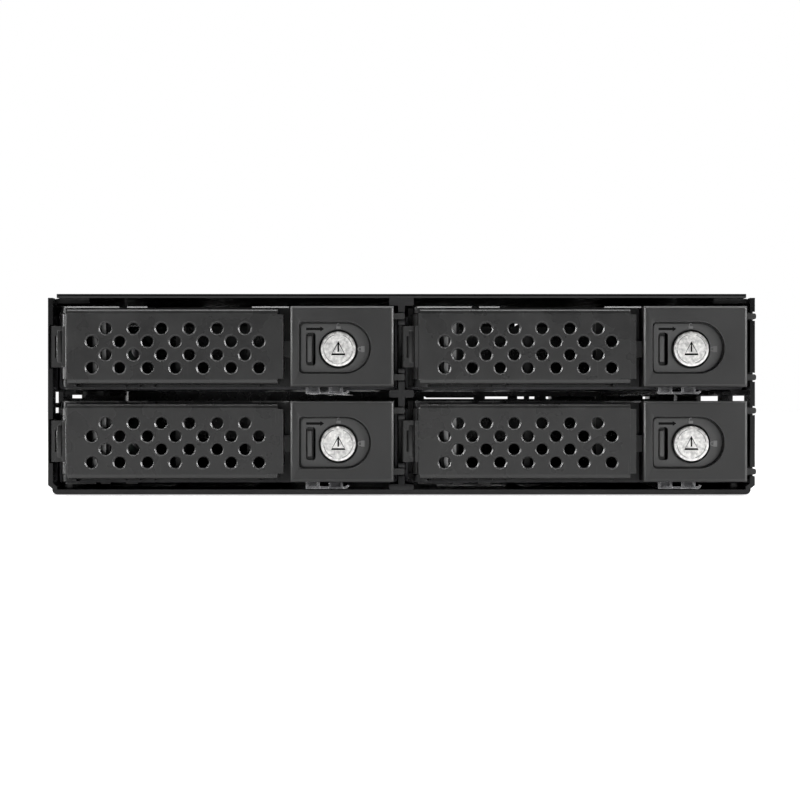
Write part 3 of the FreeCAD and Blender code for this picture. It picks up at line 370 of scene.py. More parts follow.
def joint_of(tree, *sockets):
    """All the geometry that comes out of the sockets, joined."""
    node = tree.nodes.new("GeometryNodeJoinGeometry")
    for socket in sockets:
        tree.links.new(socket, node.inputs[0])
    return node.outputs[0]


def shifted(tree, geometry, x=0.0, y=0.0, z=0.0):
    """The geometry moved along the axes."""
    where = put(tree, "ShaderNodeCombineXYZ", {0: x, 1: y, 2: z}).outputs[0]
    return put(tree, "GeometryNodeTransform", {"Geometry": geometry, "Translation": where}).outputs[0]


def ended(tree, geometry, finish, out, weld=0.0):
    """The common end of a tree: real meshes, welded where asked, with their finish."""
    whole = put(tree, "GeometryNodeRealizeInstances", {0: geometry}).outputs[0]
    if weld:
        whole = put(tree, "GeometryNodeMergeByDistance", {"Geometry": whole, "Distance": weld}).outputs[0]
    whole = put(tree, "GeometryNodeSetMaterial", {"Geometry": whole, "Material": finish}).outputs[0]
    tree.links.new(whole, out.inputs[0])
    return tree


def grown(name, tree, values, points=None):
    """An object made by a tree from the values of its named inputs."""
    piece = new_object(name, points or bpy.data.meshes.new(name))
    maker = piece.modifiers.new("maker", "NODES")
    maker.node_group = tree
    for item in tree.interface.items_tree:
        if item.in_out == "INPUT" and item.name in values:
            maker[item.identifier] = values[item.name]
    return settled(piece)


# ---------------------------------------------------------------- perforated sheet of a lever
def hole_rim():
    """One punched hole: its slanted front edge, eased at both ends, and its wall."""
    depth = HOLE_RIM * math.tan(math.radians(RIM_TILT))
    ease = 0.06 * MM
    outer = HOLE_RADIUS + HOLE_RIM
    profile = [(outer, 0), (outer - ease, ease * 0.3), (HOLE_RADIUS + ease, depth - ease * 0.3),
               (HOLE_RADIUS, depth + ease * 0.7), (HOLE_RADIUS, LEVER_SHEET)]
    rim = lathe(profile, (0, 0, 0), HOLE_SIDES, closed=False)
    rim.data.flip_normals()
    return rim


def perforated_tree():
    """A sheet that lies across z, its front at y = 0, punched in rows that stand between one another."""
    tree, given, out = new_tree("perforated_sheet", [
        ("Width", "Float"), ("Height", "Float"), ("Sheet", "Float"), ("Pitch", "Float"),
        ("Row Pitch", "Float"), ("Long Row", "Int"), ("Short Row", "Int"), ("Centre X", "Float"),
        ("Centre Z", "Float"), ("Front Radius", "Float"), ("Back Radius", "Float"), ("Sides", "Int"),
        ("Rim", "Object"), ("Paint", "Material")])
    get = given.outputs
    half_row = reckon(tree, "MULTIPLY", get["Row Pitch"], 0.5)
    low_row = reckon(tree, "MULTIPLY", get["Row Pitch"], -0.5)
    two_rows = reckon(tree, "MULTIPLY", get["Row Pitch"], 2.0)
    rows = []
    for label, height in (("Long Row", low_row), ("Short Row", half_row)):
        length = reckon(tree, "MULTIPLY", reckon(tree, "SUBTRACT", get[label], 1.0), get["Pitch"])
        grid = put(tree, "GeometryNodeMeshGrid", {"Size X": length, "Size Y": two_rows,
                                                  "Vertices X": get[label], "Vertices Y": 2})
        rows.append(shifted(tree, grid.outputs[0], x=get["Centre X"],
                            y=reckon(tree, "ADD", height, get["Centre Z"])))
    centres = joint_of(tree, *rows)
    outline = put(tree, "GeometryNodeCurvePrimitiveQuadrilateral",
                  {"Width": get["Width"], "Height": get["Height"]}).outputs[0]
    faces = []
    for label in ("Front Radius", "Back Radius"):
        circle = put(tree, "GeometryNodeCurvePrimitiveCircle",
                     {"Resolution": get["Sides"], "Radius": get[label]}).outputs[0]
        many = put(tree, "GeometryNodeInstanceOnPoints", {"Points": centres, "Instance": circle}).outputs[0]
        circles = put(tree, "GeometryNodeRealizeInstances", {0: many}).outputs[0]
        both = joint_of(tree, outline, circles)
        faces.append(put(tree, "GeometryNodeFillCurve", {"Curve": both}).outputs[0])
    depth = reckon(tree, "MULTIPLY", get["Sheet"], -1.0)
    back = put(tree, "GeometryNodeFlipFaces", {"Mesh": shifted(tree, faces[1], z=depth)}).outputs[0]
    wall_line = put(tree, "GeometryNodeCurveToMesh", {"Curve": outline}).outputs[0]
    down = put(tree, "ShaderNodeCombineXYZ", {2: depth}).outputs[0]
    wall = put(tree, "GeometryNodeExtrudeMesh", {"Mesh": wall_line, "Offset": down, "Offset Scale": 1.0},
               mode="EDGES").outputs[0]
    flat = joint_of(tree, faces[0], back, wall)
    turn = (math.pi / 2, 0, 0)
    flat = put(tree, "GeometryNodeTransform", {"Geometry": flat, "Rotation": turn}).outputs[0]
    upright = put(tree, "GeometryNodeTransform", {"Geometry": centres, "Rotation": turn}).outputs[0]
    rim = put(tree, "GeometryNodeObjectInfo", {"Object": get["Rim"]}).outputs["Geometry"]
    rims = put(tree, "GeometryNodeInstanceOnPoints", {"Points": upright, "Instance": rim}).outputs[0]
    return ended(tree, joint_of(tree, flat, rims), get["Paint"], out, weld=1e-6)


def folded_edge(side, face, half, left, right):
    """The bend and flange along the top (side 1) or the bottom (side -1) of a lever."""
    inner = LEVER_BEND - LEVER_SHEET
    seam = half - LEVER_BEND
    steps = 8
    outer_arc = [(face + LEVER_BEND * (1 - math.cos(t)), seam + LEVER_BEND * math.sin(t))
                 for t in (math.pi / 2 * i / steps for i in range(steps + 1))]
    inner_arc = [(face + LEVER_BEND - inner * math.cos(t), seam + inner * math.sin(t))
                 for t in (math.pi / 2 * i / steps for i in range(steps, -1, -1))]
    flange = [(face + LEVER_FLANGE, half), (face + LEVER_FLANGE, half - LEVER_SHEET)]
    stub_arc = [point for point in outer_arc if point[0] < face + LEVER_SHEET] + [
        (face + LEVER_SHEET, half - 0.02 * MM), (face + LEVER_SHEET, seam)]
    flange_left = left + FLANGE_START
    parts = []
    for outline, start, end in ((outer_arc + flange + inner_arc, flange_left, right - LEVER_NOTCH),
                                (stub_arc, left, flange_left)):
        parts.append(strip([(y, side * z) for y, z in outline], start, end))
    return parts


def lever_cover(tray, tree, rim, paint):
    """The perforated steel face of a lever, with folded flanges and the keeper that the bolt enters."""
    node = of_tray(tray, "lever_plate")
    low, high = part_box(node)
    face = low.y
    middle = (low.z + high.z) / 2
    half = (high.z - low.z) / 2
    flat_right = high.x - LEVER_NOTCH
    flat_half = half - LEVER_BEND
    sheet = grown("sheet", tree, {
        "Width": flat_right - low.x, "Height": 2 * flat_half, "Sheet": LEVER_SHEET, "Pitch": HOLE_PITCH,
        "Row Pitch": ROW_PITCH, "Long Row": 7, "Short Row": 6, "Centre X": LEVER_NOTCH / 2,
        "Front Radius": HOLE_RADIUS + HOLE_RIM, "Back Radius": HOLE_RADIUS, "Sides": HOLE_SIDES,
        "Centre Z": -HOLES_DROP, "Rim": rim, "Paint": paint})
    sheet.data.transform(Matrix.Translation(((low.x + flat_right) / 2, face, 0)))
    parts = [sheet]
    for side in (1, -1):
        parts += folded_edge(side, face, half, low.x, high.x)
    roll = [(low.x, face + LEVER_SHEET), (low.x, face)] + [
        (low.x - LEFT_ROLL * math.sin(t), face + LEVER_SHEET - LEVER_SHEET * math.cos(t))
        for t in (math.pi / 2 * i / 8 for i in range(1, 9))]
    parts.append(upright(roll, -flat_half, flat_half))
    notch_half = half - LEVER_NOTCH
    parts.append(block((flat_right, face, -notch_half), (high.x, face + LEVER_SHEET, notch_half)))
    keeper = block((high.x - LEVER_SHEET, face + LEVER_SHEET, -KEEPER_HALF), (high.x, high.y, KEEPER_HALF))
    lock_low, lock_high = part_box(of_tray(tray, "lock_rotor"))
    lock_z = (lock_low.z + lock_high.z) / 2 - middle
    slot_half = 1.9 * MM
    slot = block((high.x - 2 * MM, high.y - 3.1 * MM, lock_z - slot_half),
                 (high.x + 1 * MM, high.y - 1.0 * MM, lock_z + slot_half))
    parts.append(carve(keeper, slot))
    leaf_left, leaf_half = low.x + LEAF_FROM_LEFT, half - 2 * LEVER_SHEET
    leaf = [(leaf_left, face + 2.2 * MM), (leaf_left + 0.9 * MM, face + 1.9 * MM),
            (leaf_left + 1.7 * MM, face + 3.4 * MM), (leaf_left + 2.6 * MM, face + 3.4 * MM),
            (leaf_left + 2.6 * MM, face + 3.8 * MM), (leaf_left + 1.5 * MM, face + 3.8 * MM),
            (leaf_left + 0.7 * MM, face + 2.4 * MM), (leaf_left, face + 2.6 * MM)]
    spring = upright(leaf, -leaf_half, leaf_half)
    spring.data.transform(Matrix.Translation((0, 0, middle)))
    spring = merged(of_tray(tray, "lever_leaf"), spring)
    dress(spring, MATERIALS["leaf_steel"], "lever_paint", BODY_OF[node])
    cover = merged(of_tray(tray, "lever_cover"), *parts)
    cover.data.transform(Matrix.Translation((0, 0, middle)))
    smooth(cover, 13)
    return dress(cover, paint, "lever_paint", BODY_OF[node], node)


# ---------------------------------------------------------------- lock housing
def d_outline(left, right, height, centre_z, corner, steps=28):
    """A D lying on its back: slightly rounded left corners and a half round right end."""
    radius = height / 2
    points = arc(right - radius, centre_z, radius, -90, 90, steps)
    points += arc(left + corner, centre_z + radius - corner, corner, 90, 180, 6)
    points += arc(left + corner, centre_z - radius + corner, corner, 180, 270, 6)
    return points


def rounded_outline(x0, x1, z0, z1, radius, steps=5):
    """A rectangle with round corners."""
    points = arc(x1 - radius, z0 + radius, radius, -90, 0, steps)
    points += arc(x1 - radius, z1 - radius, radius, 0, 90, steps)
    points += arc(x0 + radius, z1 - radius, radius, 90, 180, steps)
    points += arc(x0 + radius, z0 + radius, radius, 180, 270, steps)
    return points


def arrow_outline(x, z, length, height, shaft):
    """An arrow that points to the right, with its middle at (x, z)."""
    head = height * 0.75
    left, right = x - length / 2, x + length / 2
    return [(left, z - shaft / 2), (right - head, z - shaft / 2), (right - head, z - height / 2), (right, z),
            (right - head, z + height / 2), (right - head, z + shaft / 2), (left, z + shaft / 2)]


def padlock(x, z, size, closed, floor):
    """A small raised padlock sign: its body and its shackle, which stands open or shut."""
    front, back = floor - 0.08 * MM, floor + 0.05 * MM
    parts = [prism([(x - size / 2, z - size / 2), (x + size / 2, z - size / 2),
                    (x + size / 2, z + size * 0.12), (x - size / 2, z + size * 0.12)], front, back)]
    outer, inner = size * 0.38, size * 0.22
    lift = size * (0.3 if closed else 0.42)
    end = 0 if closed else 50
    ring = arc(x, z + lift, outer, end, 180, 8) + arc(x, z + lift, inner, 180, end, 8)
    parts.append(prism(ring, front, back))
    for side in ((-1, 1) if closed else (-1,)):
        inside, outside = sorted((x + side * inner, x + side * outer))
        parts.append(prism([(inside, z + size * 0.1), (outside, z + size * 0.1),
                            (outside, z + lift), (inside, z + lift)], front, back))
    return merged("padlock", *parts)


def lock_housing(tray):
    """The moulded housing of a lock: chamfered face, D shaped pocket with signs, well, slot and lugs."""
    node = of_tray(tray, "lock_housing")
    low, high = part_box(node)
    rotor_low, rotor_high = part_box(of_tray(tray, "lock_rotor"))
    left, right = low.x, low.x + HOUSING_WIDTH
    centre_z = (low.z + high.z) / 2
    lock_x, lock_z = (rotor_low.x + rotor_high.x) / 2, (rotor_low.z + rotor_high.z) / 2
    front = low.y
    pocket_back = front + POCKET_DEPTH
    wall_back = pocket_back + WALL
    shell = block((left, front, low.z), (right, high.y, high.z))
    bm = bmesh.new()
    bm.from_mesh(shell.data)
    edges = [edge for edge in bm.edges if all(vert.co.y < front + 1e-6 for vert in edge.verts)]
    bmesh.ops.bevel(bm, geom=edges, offset=HOUSING_CHAMFER, segments=1, affect="EDGES", profile=0.5)
    bm.to_mesh(shell.data)
    bm.free()
    lug_parts = []
    for spot in (-1, 1):
        middle = centre_z + spot * LUG_OFFSET
        lug = rounded_outline(right - 0.6 * MM, high.x, middle - LUG_HALF, middle + LUG_HALF, LUG_HALF * 0.7)
        lug_parts.append(prism(lug, front + LUG_START, front + LUG_START + LUG_DEPTH))
    pocket_left = left + POCKET_MARGIN
    pocket_right = pocket_left + POCKET_LENGTH
    pocket_z = centre_z - POCKET_DROP
    slot_x = left + SLOT_FROM_LEFT
    reach = 1 * MM
    hollow = block((left + WALL, wall_back, low.z + WALL), (right - WALL, high.y + reach, high.z - WALL))
    shell = carve(shell, hollow,
                  prism(d_outline(pocket_left, pocket_right, POCKET_HEIGHT, pocket_z, POCKET_CORNER),
                        front - reach, pocket_back))
    soften(shell, SOFT_EDGE)
    inner = prism(d_outline(pocket_left + POCKET_GROOVE, pocket_right - POCKET_GROOVE,
                            POCKET_HEIGHT - 2 * POCKET_GROOVE, pocket_z, POCKET_CORNER),
                  front - 2 * reach, wall_back + reach)
    groove = carve(prism(d_outline(pocket_left - 0.02 * MM, pocket_right + 0.02 * MM,
                                   POCKET_HEIGHT + 0.04 * MM, pocket_z, POCKET_CORNER),
                         front + 0.6 * MM, pocket_back + 0.8 * MM), inner)
    sign_back = pocket_back + 0.4 * MM
    arrow = (slot_x + ARROW_PLACE[0], lock_z + ARROW_PLACE[1]) + ARROW_SIZE
    tools = [groove,
             prism(arc(lock_x, lock_z, LOCK_RADIUS + LOCK_GAP, 0, 355, 71), front, wall_back + reach),
             prism(rounded_outline(slot_x - SLOT_WIDTH / 2, slot_x + SLOT_WIDTH / 2, lock_z - SLOT_HEIGHT / 2,
                                   lock_z + SLOT_HEIGHT / 2, 0.6 * MM), front, wall_back + reach),
             prism(arrow_outline(*arrow), front, sign_back)]
    shell = carve(shell, *tools)
    ring = LOCK_RADIUS + LOCK_GAP
    cup = wall_back + CUP_DEPTH
    start, tail = wall_back - 0.1 * MM, front + SLEEVE_LENGTH
    outside, cup_back = LOCK_BODY + 1.1 * MM, cup + 0.8 * MM
    sleeve = lathe([(LOCK_BODY, cup), (ring, cup), (ring, start), (ring + SLEEVE_WALL, start),
                    (ring + SLEEVE_WALL, cup_back), (outside, cup_back), (outside, tail), (LOCK_BODY, tail)],
                   (lock_x, 0, lock_z), 60)
    for part in [shell, sleeve] + lug_parts:
        smooth(part)
    housing = merged(of_tray(tray, "housing_shell"), shell, sleeve, *lug_parts)
    dress(housing, MATERIALS["housing_plastic"], "housing_plastic", BODY_OF[node], node)
    # A black sheet at the bottom of the engraved arrow: painted shade in the engraving.
    fill = prism(arrow_outline(*arrow), pocket_back + 0.06 * MM, sign_back)
    dress(merged(of_tray(tray, "arrow_sign"), fill), MATERIALS["painted_shade_black"],
          "housing_plastic", BODY_OF[node])
    open_lock = padlock(lock_x, lock_z + OPEN_SIGN_OFFSET, OPEN_SIGN_SIZE, False, pocket_back)
    shut_lock = padlock(0, 0, SHUT_SIGN_SIZE, True, pocket_back)
    quarter = Matrix.Rotation(-math.pi / 2, 4, "Y")
    shut_lock.data.transform(Matrix.Translation((lock_x + SHUT_SIGN_OFFSET, 0, lock_z)) @ quarter)
    signs = soften(merged(of_tray(tray, "padlock_signs"), open_lock, shut_lock), 0.03 * MM, segments=1)
    dress(signs, MATERIALS["sign_print"], "housing_plastic", BODY_OF[node])
    bar = prism(rounded_outline(slot_x + BAR_LEFT, slot_x + BAR_RIGHT, lock_z - BAR_HALF,
                                lock_z + BAR_HALF, 0.3 * MM), pocket_back + 0.1 * MM, wall_back + 0.4 * MM)
    slider = of_tray(tray, "release_slider")
    plate = carve(copied(slider), block((slot_x - 1.05 * MM, front - 1 * MM, lock_z - 4 * MM),
                                        (slot_x + 1.05 * MM, wall_back + 0.1 * MM, lock_z + 4 * MM)))
    bar = merged(of_tray(tray, "slider_dressed"), soften(bar, 0.2 * MM, segments=3), smooth(plate))
    dress(bar, MATERIALS["housing_plastic"], "housing_plastic", BODY_OF[slider], slider)


# ---------------------------------------------------------------- lock rotor
def lock_face(tray):
    """The turning head of a lock: rim, ring groove, pointer and the three sided key post, with painted shade
    in the ring groove and at the bottom of the keyway.
    """
    node = of_tray(tray, "lock_rotor")
    low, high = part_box(node)
    x, z = (low.x + high.x) / 2, (low.z + high.z) / 2
    front, back = low.y, high.y
    head_depth = 1.75 * MM
    groove_out, groove_in, groove_depth = 3.08 * MM, 2.9 * MM, 0.12 * MM
    edge = 0.22 * MM
    profile = [(0, front), (groove_in, front), (groove_in + 0.03 * MM, front + groove_depth),
               (groove_out - 0.03 * MM, front + groove_depth), (groove_out, front),
               (LOCK_RADIUS - edge, front), (LOCK_RADIUS - edge * 0.3, front + edge * 0.3),
               (LOCK_RADIUS, front + edge), (LOCK_RADIUS, front + head_depth),
               (2.95 * MM, front + head_depth), (2.95 * MM, back - 2.3 * MM), (0, back - 2.3 * MM)]
    head = lathe(profile, (x, 0, z), ROUND_SIDES)

    def three_sided(half_base, height, bottom, start, end):
        outline = [(x - half_base, z + bottom), (x + half_base, z + bottom), (x, z + bottom + height)]
        return prism(outline, start, end)

    pointer = block((x - 0.22 * MM, front - 1 * MM, z + groove_out - 0.1 * MM),
                    (x + 0.22 * MM, front + groove_depth, z + LOCK_RADIUS + 1 * MM))
    keyway = three_sided(*KEYWAY, front - 1 * MM, front + 1.3 * MM)
    head = smooth(carve(head, keyway, pointer))
    post = three_sided(*KEY_POST, front + 0.04 * MM, front + 1.4 * MM)
    slit = block((x - SLIT_HALF, front - 1 * MM, z - 0.6 * MM),
                 (x + SLIT_HALF, front + 0.9 * MM, z + 1.6 * MM))
    post = smooth(carve(post, slit))
    # A black sheet at the bottom of the keyway, behind the post: painted shade in the recess.
    well = three_sided(*KEYWAY_PAINTED_SHADE, front + 0.3 * MM, front + 1.3 * MM)
    # Grey arcs laid in the ring groove: painted shade.
    shades = []
    for start, end in ((105, 160), (185, 250), (285, 350), (10, 70)):
        ring = arc(x, z, 3.02 * MM, start, end, 14) + arc(x, z, 2.86 * MM, end, start, 14)
        shades.append(prism(ring, front + 0.03 * MM, front + 0.1 * MM))
    dress(merged(of_tray(tray, "groove_shade"), *shades), MATERIALS["groove_painted_shade"], "lock_metal",
          BODY_OF[node])
    well = merged(of_tray(tray, "keyway_well"), well)
    dress(well, MATERIALS["painted_shade_black"], "lock_metal", BODY_OF[node])
    key = soften(block((x - 1.6 * MM, back - 2.4 * MM, z - 1.6 * MM),
                       (x + 1.6 * MM, back - 0.4 * MM, z + 1.6 * MM)), 0.05 * MM)
    peened = lathe([(0, back - 0.5 * MM), (2.2 * MM, back - 0.5 * MM), (2.2 * MM, back - 0.15 * MM),
                    (2.0 * MM, back), (0, back)], (x, 0, z), 48)
    rotor = merged(of_tray(tray, "lock_face"), head, post, key, smooth(peened))
    dress(rotor, MATERIALS["lock_metal"], "lock_metal", BODY_OF[node], node)


# ---------------------------------------------------------------- the other parts of a tray
def light_pipe(tray):
    """The clear light pipe: two ribbed ends under the housing, joined below, with a small hook."""
    node = of_tray(tray, "light_pipe")
    low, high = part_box(node)
    wide, pitch = 2.95 * MM, 4.75 * MM
    front, top = low.y, high.z
    parts = []
    for start in (low.x - 0.1 * MM, low.x - 0.1 * MM + pitch):
        tab = block((start, front, low.z), (start + wide, front + 4.0 * MM, top))
        dish = block((start + 0.55 * MM, front - 1 * MM, low.z + 0.5 * MM),
                     (start + wide - 0.55 * MM, front + 0.6 * MM, top + 1 * MM))
        parts.append(soften(carve(tab, dish), 0.14 * MM, segments=3))
        inset = 0.1 * MM
        parts.append(block((start + inset, front + 3.9 * MM, low.z), (start + wide - inset, high.y, high.z)))
    link = block((low.x + wide - 0.3 * MM, front + 0.2 * MM, low.z),
                 (low.x + pitch + 0.1 * MM, front + 2.0 * MM, low.z + 0.5 * MM))
    parts.append(soften(link, 0.14 * MM, segments=3))
    tip = low.x - 0.1 * MM + pitch + wide
    hook = arc(tip + 0.3 * MM, low.z + 1.0 * MM, 1.0 * MM, -110, -20, 8) + arc(
        tip + 0.3 * MM, low.z + 1.0 * MM, 0.6 * MM, -20, -110, 8)
    parts.append(smooth(prism(hook, front + 0.3 * MM, front + 2.0 * MM)))
    dress(merged(of_tray(tray, "clear_pipe"), *parts), MATERIALS["clear_plastic"], "clear_plastic",
          BODY_OF[node], node)


def hinge_arm(tray):
    """The cast hinge arm, with the round rib that shows in the hollow of its tongue."""
    node = of_tray(tray, "lever_arm")
    low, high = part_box(node)
    pin_low, pin_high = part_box(of_tray(tray, "hinge_pin"))
    middle = (low.z + high.z) / 2
    face = (pin_low.y + pin_high.y) / 2 - 1.0 * MM
    rib_x, rib_half = low.x + 2.0 * MM, 3.4 * MM
    rib = upright(arc(rib_x, face + 0.95 * MM, 1.1 * MM, 0, 354, 59), -rib_half, rib_half)
    rib.data.transform(Matrix.Translation((0, 0, middle)))
    arm = merged(of_tray(tray, "hinge_arm"), smooth(copied(node)), soften(rib, 0.3 * MM, segments=4))
    dress(arm, MATERIALS["lever_paint"], SLOT_OF[node], BODY_OF[node], node)


def front_lips(tray):
    """The slanted edges of the moulded front above and below the lever, broken by its notches, coloured
    lighter than the frame as a painted highlight.
    """
    node = of_tray(tray, "front_frame")
    low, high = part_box(node)
    out, depth = 0.25 * MM, 0.3 * MM
    parts = []
    for top, spans in ((high.z, TOP_LIPS), (low.z - 0.2 * MM, LOW_LIPS)):
        back = low.y + 0.1 * MM
        outline = [(low.y - out, top - depth), (low.y, top), (back, top), (back, top - depth)]
        parts += [strip(outline, low.x + start * MM, low.x + end * MM) for start, end in spans]
    lips = merged(of_tray(tray, "front_lips"), *parts)
    dress(lips, MATERIALS["bright_lip"], SLOT_OF[node], BODY_OF[node])


def tray_trim(tray):
    """The moulded front of a tray and the small parts on it."""
    node = of_tray(tray, "front_frame")
    dress(smooth(copied(node)), MATERIALS["frame_plastic"], SLOT_OF[node], BODY_OF[node], node)
    hinge_arm(tray)
    front_lips(tray)
    light_pipe(tray)


# ---------------------------------------------------------------- screws
def islands(node):
    """The points of each separate solid of a node."""
    bm = bmesh.new()
    bm.from_mesh(frame["nodes"][node].data)
    bmesh.ops.remove_doubles(bm, verts=bm.verts, dist=2e-6)
    left, found = set(bm.verts), []
    while left:
        group, edge = [], [left.pop()]
        while edge:
            vert = edge.pop()
            group.append(vert.co.copy())
            near = [link.other_vert(vert) for link in vert.link_edges]
            edge += [one for one in near if one in left]
            left.difference_update(near)
        found.append(group)
    bm.free()
    return found


def screw_places(node):
    """The middle of each head's face, the way its shank goes, its length and the radius of its head."""
    found = []
    for points in islands(node):
        low = Vector([min(point[i] for point in points) for i in range(3)])
        high = Vector([max(point[i] for point in points) for i in range(3)])
        size, middle = high - low, (low + high) / 2
        axis = min(range(3), key=lambda i: abs(size[(i + 1) % 3] - size[(i + 2) % 3]))
        width = [0.0, 0.0]
        for point in points:
            off = point - middle
            side = int(off[axis] > 0)
            off[axis] = 0
            width[side] = max(width[side], off.length)
        way = Vector((0, 0, 0))
        way[axis] = 1 if width[0] > width[1] else -1
        face = middle.copy()
        face[axis] = low[axis] if width[0] > width[1] else high[axis]
        found.append((face, way, size[axis], max(width)))
    return found


def screw_pattern(length, head, shank, sunk):
    """One screw whose shank goes down from the middle of its head, with a cross recess and a thread."""
    drop_of_head = head - shank if sunk else 1.6 * MM
    rim = [(0, 0), (head - 0.1 * MM, 0), (head, -0.1 * MM)] if sunk else [
        (0, 0), (head * 0.6, 0), (head * 0.9, -0.25 * MM), (head, -0.7 * MM), (head, -drop_of_head)]
    profile = rim + [(shank, -drop_of_head)]
    turns = int((length - drop_of_head) / (0.5 * MM))
    for i in range(turns):
        z = -drop_of_head - i * 0.5 * MM
        profile += [(shank, z - 0.1 * MM), (shank - 0.22 * MM, z - 0.3 * MM), (shank, z - 0.5 * MM)]
    profile += [(shank - 0.3 * MM, -length), (0, -length)]
    body = lathe([(radius, -z) for radius, z in profile], (0, 0, 0), SCREW_SIDES)
    body.data.transform(Matrix.Rotation(-math.pi / 2, 4, "X"))
    arm, half, floor = head * 0.62, 0.28 * MM, -0.9 * MM
    cuts = [block((-arm, -half, floor), (arm, half, 1 * MM)),
            block((-half, -arm, floor), (half, arm, 1 * MM))]
    return smooth(carve(body, *cuts))


def screws_tree():
    """A screw stood at each point, turned as the point says."""
    tree, given, out = new_tree("screws", [
        ("Points", "Geometry"), ("Screw", "Object"), ("Finish", "Material")])
    turn = put(tree, "GeometryNodeInputNamedAttribute", {"Name": "turn"}, data_type="FLOAT_VECTOR").outputs[0]
    screw = put(tree, "GeometryNodeObjectInfo", {"Object": given.outputs["Screw"]}).outputs["Geometry"]
    many = put(tree, "GeometryNodeInstanceOnPoints", {"Points": given.outputs["Points"], "Instance": screw})
    euler = put(tree, "FunctionNodeEulerToRotation", {0: turn}).outputs[0]
    tree.links.new(euler, many.inputs["Rotation"])
    return ended(tree, many.outputs[0], given.outputs["Finish"], out)


def dress_screws(node, tree, shank, sunk=True):
    """Puts a screw with a cross recess in the place of each packed one."""
    places = screw_places(node)
    pattern = screw_pattern(places[0][2], places[0][3], shank, sunk)
    mesh = bpy.data.meshes.new(node + "_places")
    mesh.from_pydata([place[0] for place in places], [], [])
    turns = mesh.attributes.new("turn", "FLOAT_VECTOR", "POINT")
    for i, place in enumerate(places):
        turns.data[i].vector = place[1].to_track_quat("-Z", "Y").to_euler()
    screws = grown(node + "_dressed", tree, {"Screw": pattern, "Finish": MATERIALS["black_screws"]}, mesh)
    drop(pattern)
    dress(screws, MATERIALS["black_screws"], SLOT_OF[node], BODY_OF[node], node)


# ---------------------------------------------------------------- fans
def fan_blade():
    """One cambered blade along x, from inside the hub to its tip."""
    bm = bmesh.new()
    across, along = 12, 10
    turn = math.radians(BLADE_PITCH)
    inside = FAN_HUB - 0.8 * MM
    sides = []
    for face in (1, -1):
        rows = []
        for i in range(along + 1):
            share = i / along
            radius = inside + (BLADE_TIP - inside) * share
            chord = BLADE_CHORD * (BLADE_ROOT_SHARE + (1 - BLADE_ROOT_SHARE) * share)
            row = []
            for j in range(across + 1):
                s = 2 * j / across - 1
                u = s * chord / 2
                v = 0.5 * MM * (0.5 - s * s)
                v += face * BLADE_THICKNESS / 2 * (0.25 + 0.75 * math.sqrt(1 - s * s))
                y = u * math.sin(turn) + v * math.cos(turn)
                swing = (u * math.cos(turn) - v * math.sin(turn)) / radius
                row.append(bm.verts.new((radius * math.cos(swing), y, radius * math.sin(swing))))
            rows.append(row)
        sides.append(rows)
    top, low = sides
    for rows in sides:
        for one, two in zip(rows, rows[1:]):
            for j in range(across):
                bm.faces.new((one[j], one[j + 1], two[j + 1], two[j]))
    for i in range(along):
        for j in (0, across):
            bm.faces.new((top[i][j], top[i + 1][j], low[i + 1][j], low[i][j]))
    for i in (0, along):
        for j in range(across):
            bm.faces.new((top[i][j], top[i][j + 1], low[i][j + 1], low[i][j]))
    bmesh.ops.recalc_face_normals(bm, faces=bm.faces)
    return smooth(from_bmesh("blade", bm))


def blades_tree():
    """A number of like blades set round the y axis."""
    tree, given, out = new_tree("blade_ring", [("Count", "Int"), ("Blade", "Object"), ("Finish", "Material")])
    get = given.outputs
    spots = put(tree, "GeometryNodeMeshLine", {"Count": get["Count"], "Offset": (0.0, 0.0, 0.0)}).outputs[0]
    index = tree.nodes.new("GeometryNodeInputIndex").outputs[0]
    step = reckon(tree, "DIVIDE", 2 * math.pi, get["Count"])
    turn = put(tree, "ShaderNodeCombineXYZ", {1: reckon(tree, "MULTIPLY", index, step)}).outputs[0]
    blade = put(tree, "GeometryNodeObjectInfo", {"Object": get["Blade"]}).outputs["Geometry"]
    many = put(tree, "GeometryNodeInstanceOnPoints", {"Points": spots, "Instance": blade})
    tree.links.new(put(tree, "FunctionNodeEulerToRotation", {0: turn}).outputs[0], many.inputs["Rotation"])
    return ended(tree, many.outputs[0], get["Finish"], out)


def fan_rotor(node, tree, blade):
    """Hub with an eased front edge, cambered blades and the shaft."""
    low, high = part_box(node)
    frame_low, frame_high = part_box("fan_frames")
    x = math.copysign(frame_high.x - FAN_HALF, low.x)
    z = (frame_low.z + frame_high.z) / 2
    hub_back = low.y + ROTOR_DEPTH
    middle = (low.y + hub_back) / 2
    blades = grown("blades", tree, {"Count": BLADE_COUNT, "Blade": blade, "Finish": MATERIALS["fan_plastic"]})
    blades.data.transform(Matrix.Translation((x, middle, z)))
    hub = lathe([(0, low.y), (FAN_HUB - 1 * MM, low.y), (FAN_HUB - 0.3 * MM, low.y + 0.3 * MM),
                 (FAN_HUB, low.y + 1 * MM), (FAN_HUB, hub_back), (0, hub_back)], (x, 0, z), 72)
    shaft = lathe([(0, hub_back - 1 * MM), (0.95 * MM, hub_back - 1 * MM), (0.95 * MM, high.y), (0, high.y)],
                  (x, 0, z), 32)
    whole = merged(node + "_dressed", smooth(hub), smooth(shaft), blades)
    dress(whole, MATERIALS["fan_plastic"], SLOT_OF[node], BODY_OF[node], node)


